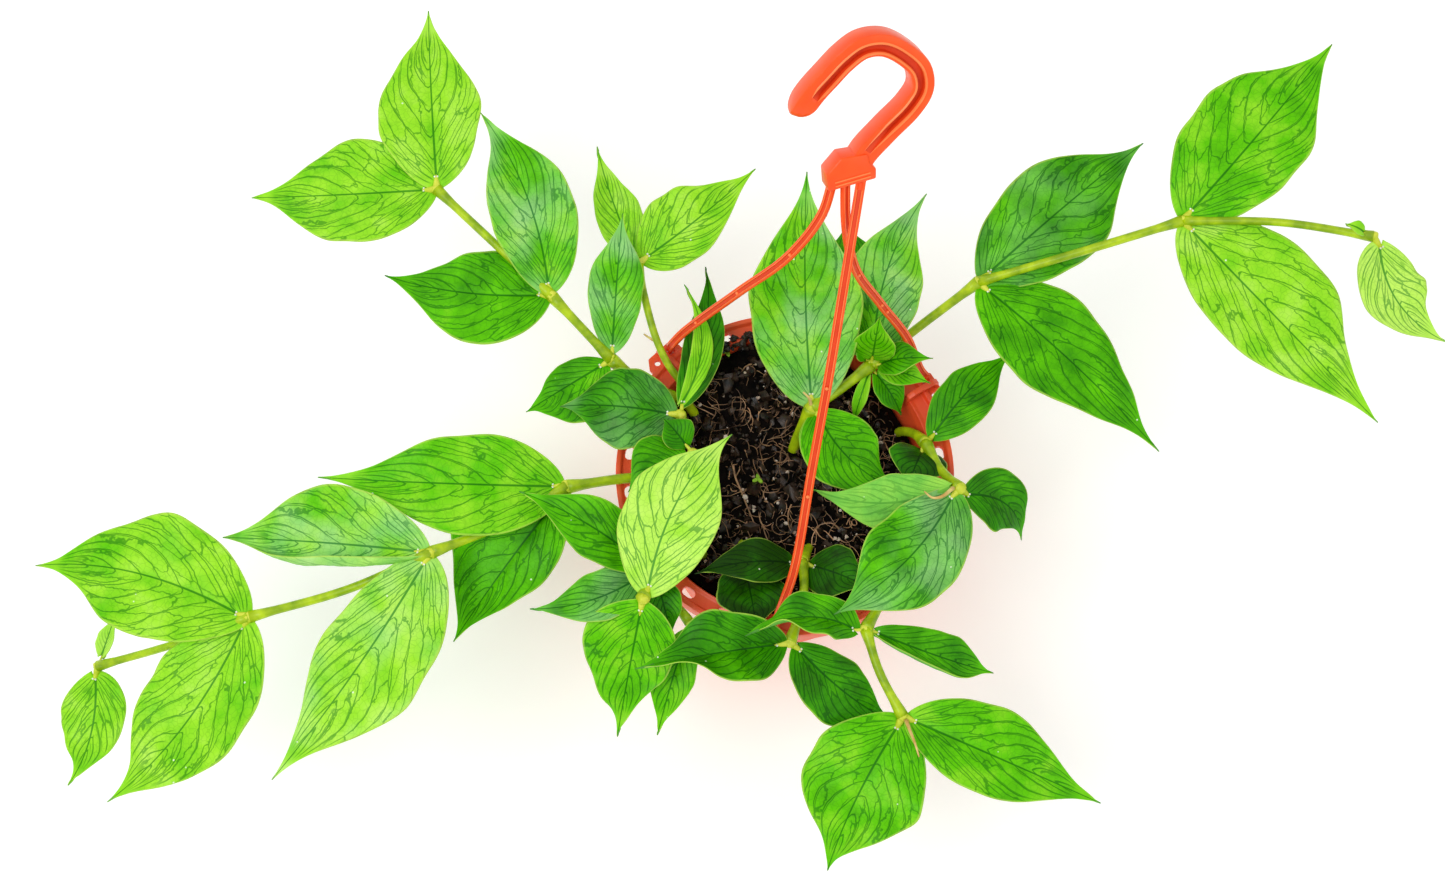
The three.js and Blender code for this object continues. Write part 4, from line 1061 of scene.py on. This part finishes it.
def leaf_material(name, roughness, vein_strength, veil):
    """The skin of one side of a leaf; veil is how much paler and duller it is than the top."""
    skin, shader = new_material(name)
    place, veins, look = (add_node(skin, "Attribute", attribute_name=which)["Vector"]
                          for which in ("leaf_place", "leaf_veins", "leaf_look"))
    across = add_node(skin, "SeparateXYZ", {0: place})[0]
    count, reach, gap = add_node(skin, "SeparateXYZ", {0: veins})
    tone, bloom, share = add_node(skin, "SeparateXYZ", {0: look})
    noises = {which: add_node(skin, "TexNoise", {
        "Vector": place, "Scale": cells, "Detail": detail})["Fac"]
        for which, (cells, detail) in LEAF_NOISE.items()}
    wobble = add_node(skin, "Math", {0: noises["wobble"], 1: VEIN_WOBBLE, 2: -VEIN_WOBBLE / 2},
                      operation="MULTIPLY_ADD")[0]
    swayed = add_node(skin, "Math", {0: count, 1: wobble}, operation="ADD")[0]
    from_vein = add_node(skin, "Math", {0: swayed, 1: 0.5}, operation="PINGPONG")[0]
    from_vein = add_node(skin, "Math", {0: from_vein, 1: gap}, operation="MULTIPLY")[0]
    along_veins = add_node(skin, "Math", {0: swayed, 1: CELLS_PER_VEIN}, operation="MULTIPLY")[0]
    over_veins = add_node(skin, "Math", {0: across, 1: 1 / (CELL_LONG * MM)},
                          operation="MULTIPLY")[0]
    over_veins = add_node(skin, "Math", {0: noises["stray"], 1: CELL_STRAY, 2: over_veins},
                          operation="MULTIPLY_ADD")[0]
    cell_place = add_node(skin, "CombineXYZ", {0: along_veins, 1: over_veins})[0]
    cell_edge = add_node(skin, "TexVoronoi", {
        "Vector": cell_place, "Scale": 1, "Randomness": CELL_UNEVEN},
        voronoi_dimensions="2D", feature="DISTANCE_TO_EDGE")["Distance"]
    cell_wide = add_node(skin, "Math", {0: gap, 1: 1 / CELLS_PER_VEIN}, operation="MULTIPLY")[0]
    from_cell = add_node(skin, "Math", {0: cell_edge, 1: cell_wide}, operation="MULTIPLY")[0]
    net_edge = add_node(skin, "TexVoronoi", {"Vector": place, "Scale": NET_CELLS},
                        feature="DISTANCE_TO_EDGE")["Distance"]
    speck_middle = add_node(skin, "TexVoronoi", {"Vector": place, "Scale": SPECK_CELLS})["Distance"]
    midrib_half = add_node(skin, "Math", {0: share, 1: -MIDRIB_LINE_TAPER, 2: MIDRIB_LINE_HALF},
                           operation="MULTIPLY_ADD")[0]
    off_middle = add_node(skin, "Math", {0: across}, operation="ABSOLUTE")[0]
    off_middle = add_node(skin, "Math", {0: off_middle, 1: midrib_half}, operation="DIVIDE")[0]
    followed = {
        "side_vein": from_vein, "short_of_margin": reach, "cell_vein": from_cell,
        "off_midrib": reach, "wide_gap": gap, "fine_net": net_edge, "midrib": off_middle,
        "any_gap": gap, "clouds": noises["clouds"], "margin": reach, "specks": speck_middle,
    }
    fades = {mark: add_node(skin, "MapRange", {
        "Value": followed[mark], "From Min": gone_at, "From Max": full_at, "To Max": most},
        interpolation_type="SMOOTHSTEP")[0]
        for mark, (gone_at, full_at, most) in LEAF_FADES.items()}
    side_vein = add_node(skin, "Math", {0: fades["side_vein"], 1: fades["short_of_margin"]},
                         operation="MULTIPLY")[0]
    cell_vein = add_node(skin, "Math", {0: fades["cell_vein"], 1: fades["off_midrib"]},
                         operation="MULTIPLY")[0]
    cell_vein = add_node(skin, "Math", {0: cell_vein, 1: fades["wide_gap"]},
                         operation="MULTIPLY")[0]
    lines = fades["fine_net"]
    for line in (side_vein, cell_vein):
        lines = add_node(skin, "Math", {0: lines, 1: line}, operation="MAXIMUM")[0]
    lines = add_node(skin, "Math", {0: lines, 1: fades["any_gap"]}, operation="MULTIPLY")[0]
    lines = add_node(skin, "Math", {0: fades["midrib"], 1: lines}, operation="MAXIMUM")[0]
    patches = add_node(skin, "Math", {
        0: noises["patches"], 1: PATCH_CONTRAST, 2: -PATCH_CONTRAST / 2},
        operation="MULTIPLY_ADD")[0]
    varied = add_node(skin, "Math", {0: tone, 1: patches}, operation="ADD")[0]
    flesh = add_node(skin, "ValToRGB", {"Fac": varied})["Color"]
    stops = flesh.node.color_ramp.elements
    while len(stops) < len(LEAF_TONES):
        stops.new(1)
    for stop, (age, colour) in zip(stops, LEAF_TONES.items()):
        stop.position = age
        stop.color = linear(colour)
    # The painted sheen's share: the cloudy patches, as strong as the leaf's sheen setting.
    painted_sheen_amount = add_node(skin, "Math", {0: fades["clouds"], 1: bloom}, operation="MULTIPLY")[0]
    veined = add_node(skin, "Math", {0: lines, 1: vein_strength}, operation="MULTIPLY")[0]
    for amount, shade, how in (
            (painted_sheen_amount, LEAF_PAINTED_SHEEN, "MIX"), (veil, UNDERSIDE_VEIL, "MIX"),
            (veined, VEIN_SHADE, "MULTIPLY"), (fades["margin"], MARGIN_LINE, "MIX"),
            (fades["specks"], PALE_SPECKS, "MIX")):
        flesh = add_node(skin, "Mix", {0: amount, MIX_FIRST: flesh, MIX_SECOND: linear(shade)},
                         data_type="RGBA", blend_type=how)[MIX_RESULT]
    relief = add_node(skin, "Bump", {
        "Height": lines, "Strength": VEIN_RELIEF["strength"],
        "Distance": VEIN_RELIEF["deep"] * MM}, invert=True)["Normal"]
    set_inputs(skin, shader, {"Base Color": flesh, "Normal": relief, "Roughness": roughness,
                              "Specular IOR Level": LEAF_SHINE})
    return skin


leaf_top = leaf_material("waxy_leaf_skin", roughness=0.38, vein_strength=0.9, veil=0)
leaf_under = leaf_material("matt_leaf_underside", roughness=0.6, vein_strength=0.5, veil=0.14)
leaf_margin, margin_shader = new_material("thin_leaf_margin")
set_inputs(leaf_margin, margin_shader, {"Base Color": linear(MARGIN_FLESH), "Roughness": 0.5})

# Stem skin: smooth young bark, yellow green to olive in random streaks 6 mm wide, with a soft
# shine. The swollen nodes and leaf stalks are a paler, waxy yellow; the small glands on the
# leaves' bases are off-white, and the dried bud scales straw brown.
STEM_FINISHES = {
    "smooth_green_stem": {"tones": ("#7da004", "#b4d010"), "roughness": 0.36},
    "pale_waxy_node": {"tones": ("#b2c41a", "#dce04c"), "roughness": 0.4},
    "off_white_gland": {"tones": ("#d8dcc0", "#f2f4e6"), "roughness": 0.5},
    "dried_bud_scale": {"tones": ("#b98a3c", "#ecd488"), "roughness": 0.6},
}
STEM_PATCHES = 160
STEM_SHINE = 0.35
STEM_SPREAD = (0.35, 0.65)
shoot_materials = [mottled(name, patches=STEM_PATCHES, detail=4, shine=STEM_SHINE,
                           spread=STEM_SPREAD, **look)
                   for name, look in STEM_FINISHES.items()]

# The longest shoot on the left, with eight leaves; its tip is still growing.
leafy_stem("stem_left_long", (2.2, 1.5), [
    (-42, -4, 92), (-51, -3, 106), (-65, -5, 111), (-89, -11, 118), (-115, -27, 118),
    (-141, -42, 129), (-174, -55, 122), (-212, -67, 124), (-243, -76, 116), (-276, -82, 104),
], [
    blade(3, (-189, -9, 124), 42, lift=6, bend=2.5, roll=-8, fold=8, wave=1.5, widest=0.34,
          tone=0.55),
    blade(3, (-135, -70, 96), 46, lift=4, skew=-0.26, fold=6, wave=2, tone=0.42),
    blade(5, (-228, -31, 113), 42, lift=3, skew=-0.1, roll=-12, fold=6, curl=(195, 0), widest=0.47,
          tone=0.6, bloom=0.35),
    blade(5, (-201, -129, 112), 45, lift=8, bend=4.5, skew=0.18, fold=6, wave=1, tone=0.76,
          bloom=0.25),
    blade(7, (-300, -45, 120), 50, lift=8, bend=-5, fold=6, wave=1.5, tone=0.68),
    blade(7, (-269, -135, 96), 46, lift=6, bend=8, fold=9, wave=2, tone=0.7),
    blade(9, (-268, -63, 113), 9, fold=35, tone=0.93),
    blade(9, (-288, -127, 88), 27, lift=4, bend=5.5, fold=8, wave=1.5, widest=0.32, tone=0.7),
])

# The shoot that rises to the upper left.
leafy_stem("stem_top_left", (2.2, 1.7), [
    (-37, 29, 92), (-44, 32, 106), (-58, 37, 108), (-72, 45, 117), (-96, 67, 132), (-118, 87, 136),
    (-145, 113, 138),
], [
    blade(3, (-67, 100, 142), 23, lift=3, fold=4, widest=0.5, tone=0.5, bloom=0.35),
    blade(3, (-108, 27, 103), 28, lift=3, bend=1, skew=0.3, fold=4, tone=0.4),
    blade(4, (-127, 144, 147), 37, lift=5, bend=-5, fold=14, tone=0.52, bloom=0.35),
    blade(4, (-167, 80, 124), 42, lift=3, bend=4.5, skew=0.06, fold=5, widest=0.33, tone=0.39),
    blade(6, (-152, 196, 142), 43, lift=4, skew=0.05, fold=6, widest=0.37, tone=0.76),
    blade(6, (-225, 115, 126), 48, lift=5, bend=3, fold=6, widest=0.38, tone=0.67),
])

# The thin upright shoot behind it, with a young aerial root.
leafy_stem("stem_top_middle", (1.7, 1.5), [
    (-39, 35, 92), (-42, 37, 107), (-49, 45, 114), (-54, 55, 120), (-59, 73, 126), (-61, 83, 129),
], [
    blade(5, (-12, 122, 139), 33, lift=5, bend=-3, skew=0.1, fold=6, widest=0.3, tone=0.73),
    blade(5, (-80, 144, 117), 20, lift=2, bend=1.5, fold=10, widest=0.3, tone=0.76),
], [
    [(-52.3, 52.4, 118), (-55.7, 54.2, 117.5), (-58.7, 56.9, 116)],
])

# A short shoot at the left rim, with dark old leaves.
leafy_stem("stem_rim_left", (1.6, 1.6), [
    (-41, 19, 92), (-43, 21, 116),
], [
    blade(1, (-93, 26, 112), 35, lift=5, skew=0.03, roll=-4, fold=4, tone=0.27, bloom=0.15),
    blade(1, (-33, 88, 115), 17, lift=2, bend=-5, fold=6, tone=0.15),
    blade(1, (-42, 78, 119), 10, lift=2, bend=-8, roll=20, fold=12, tone=0.68),
])

# A short shoot inside the pot, left of the middle.
leafy_stem("stem_centre_short", (1.5, 1.5), [
    (-38, 5, 92), (-38, 4, 117),
], [
    blade(1, (-64, -13, 117), 27, lift=3, bend=-2, fold=6, tone=0.42),
    blade(1, (-50, 18, 119), 15, lift=2, fold=10, tone=0.3),
])

# The shoot that carries the pale young leaf over the pot's left front.
leafy_stem("stem_centre_left", (2.1, 2), [
    (-34, -32, 92), (-41, -36, 107), (-47, -42, 114), (-53, -47, 120), (-57, -61, 130),
], [
    blade(4, (-22, 6, 133), 39, lift=9, bend=5, skew=-0.02, fold=6, tone=0.93),
    blade(4, (-68, -108, 92), 38, lift=2, skew=-0.1, fold=6, wave=2.5, widest=0.25, tone=0.52),
    blade(3, (-102, -63, 121), 21, lift=4, bend=5, fold=10, tone=0.38, bloom=0.2),
    blade(3, (-107, -17, 130), 25, lift=3, bend=-2, fold=8, tone=0.43),
    blade(3, (-46, -72, 112), 16, lift=2, fold=8, tone=0.3),
])

# The front shoot, whose lowest leaves are the oldest and darkest.
leafy_stem("stem_front", (1.8, 1.8), [
    (10, -29, 92), (7, -38, 101), (7, -52, 110), (4, -66, 114), (1, -75, 115),
], [
    blade(4, (-60, -89, 128), 34, lift=3, roll=14, twist=100, fold=30, wave=2, tone=0.29),
    blade(4, (44, -103, 92), 27, lift=4, bend=-3.5, skew=-0.15, fold=6, tone=0.24),
    blade(1, (-37, -47, 116), 19, lift=5, bend=-1, fold=6, wave=1.5, tone=0),
    blade(1, (34, -52, 111), 24, lift=3, fold=6, tone=0.08),
])

# The shoot that hangs over the front rim to the right, with a dried bud stalk.
leafy_stem("stem_front_right", (2, 1.7), [
    (44, -28, 92), (43, -36, 106), (38, -57, 114), (31, -70, 117), (36, -87, 116), (45, -104, 112),
], [
    blade(3, (-17, -77, 132), 20, lift=5, bend=-5, roll=18, twist=110, fold=25, wave=2, tone=0.34),
    blade(3, (83, -84, 100), 20, lift=4, bend=-2, fold=10, curl=(0, 120), widest=0.6, tone=0.36),
    blade(5, (16, -160, 84), 49, lift=8, bend=-2, fold=4, wave=1.5, tone=0.52),
    blade(5, (123, -136, 99), 36, lift=7, bend=-1.5, skew=0.06, fold=6, wave=1, tone=0.51),
], [
    [(46.2, -106, 113.5), (47.6, -111.7, 117), (49, -116.2, 118.5), (50.4, -121.3, 118)],
])

# The short shoot that stands up at the right rim, with a dried bud stalk.
leafy_stem("stem_right_short", (2, 1.9), [
    (49, 22, 92), (54, 17, 104), (58, 10, 112), (63, -4, 119), (69, -16, 131),
], [
    blade(2, (95, 48, 118), 23, lift=4, bend=1.5, skew=-0.1, fold=6, tone=0.32),
    blade(2, (49, -11, 115), 25, lift=5, fold=8, tone=0.06),
    blade(4, (18, -67, 128), 38, lift=6, bend=6, skew=0.05, fold=10, widest=0.52, tone=0.38,
          bloom=0.24),
    blade(4, (10, -16, 130), 23, lift=3, bend=7, roll=165, fold=6, tone=0.55),
    blade(4, (96, -30, 106), 26, lift=4, bend=6, fold=6, tone=0.23),
], [
    [(66, -16.5, 133), (60.6, -21.5, 137), (57.1, -22, 137.5), (54.2, -18.9, 136)],
])

# The longest shoot on the right, which climbs outwards; small young leaves crowd its second node.
leafy_stem("stem_right_long", (2.3, 1.5), [
    (4, 14, 92), (7, 19, 104), (11, 25, 113), (23, 33, 114), (36, 43, 116), (53, 56, 120),
    (79, 70, 140), (119, 77, 154), (158, 85, 166), (194, 80, 175), (228, 71, 181),
], [
    blade(2, (9, 115, 150), 47, lift=8, bend=2, fold=5, tone=0.54, bloom=0.35),
    blade(2, (47, -10, 108), 32, lift=5, bend=-6, fold=6, tone=0.41),
    blade(2, (14, -3, 103), 14, lift=2, fold=10, tone=0.45),
    blade(4, (38, 54, 142), 18, lift=2, fold=10, tone=0.55),
    blade(4, (60, 39, 133), 15, lift=3, fold=6, tone=0.36),
    blade(4, (49, 26, 102), 13, lift=3, fold=15, tone=0.38),
    blade(4, (29, 23, 100), 7, lift=4, fold=30, tone=0.66),
    blade(4, (60, 34, 118), 13, lift=2, fold=10, tone=0.6),
    blade(4, (28, 49, 126), 8, lift=1, fold=10, tone=0.4),
    blade(4, (58, 105, 150), 33, lift=4, bend=5.5, fold=6, tone=0.5, bloom=0.35),
    blade(4, (26, 104, 126), 34, lift=2, bend=1, fold=6, widest=0.6, tone=0.35),
    blade(6, (147, 125, 156), 44, lift=4, roll=12, fold=4, widest=0.45, tone=0.35, bloom=0.12),
    blade(6, (151, 2, 124), 42, lift=8, bend=-1, fold=6, wave=1.5, widest=0.38, tone=0.39),
    blade(8, (221, 157, 180), 48, lift=6, bend=-1.5, skew=0.1, fold=6, wave=1, tone=0.53),
    blade(8, (232, 5, 150), 50, lift=8, bend=-4, skew=0.08, fold=6, wave=1, tone=0.76),
    blade(10, (216, 74, 186), 6, lift=1, fold=10, tone=0.72),
    blade(10, (255, 30, 172), 27, lift=3, bend=-9, fold=8, tone=1),
], [
    [(11, 25, 114), (9.8, 27.2, 119), (7.4, 29, 121)],
])

# A shoot with a single broad leaf close to the soil.
leafy_stem("stem_front_fan", (1.5, 1.5), [
    (-18, -27, 92), (-17, -36, 99),
], [
    blade(1, (-12, -70, 111.5), 29, lift=3, roll=-8, fold=6, widest=0.55, tone=0),
])

# A thin shoot that leans out at the left front, with one leaf.
leafy_stem("stem_front_corner", (1.6, 1.5), [
    (-40, -28, 92), (-43, -31, 104), (-48, -38, 110), (-50, -49, 111), (-39, -66, 111.5),
], [
    blade(4, (-52, -107, 90), 18, lift=4, fold=8, tone=0.56),
])
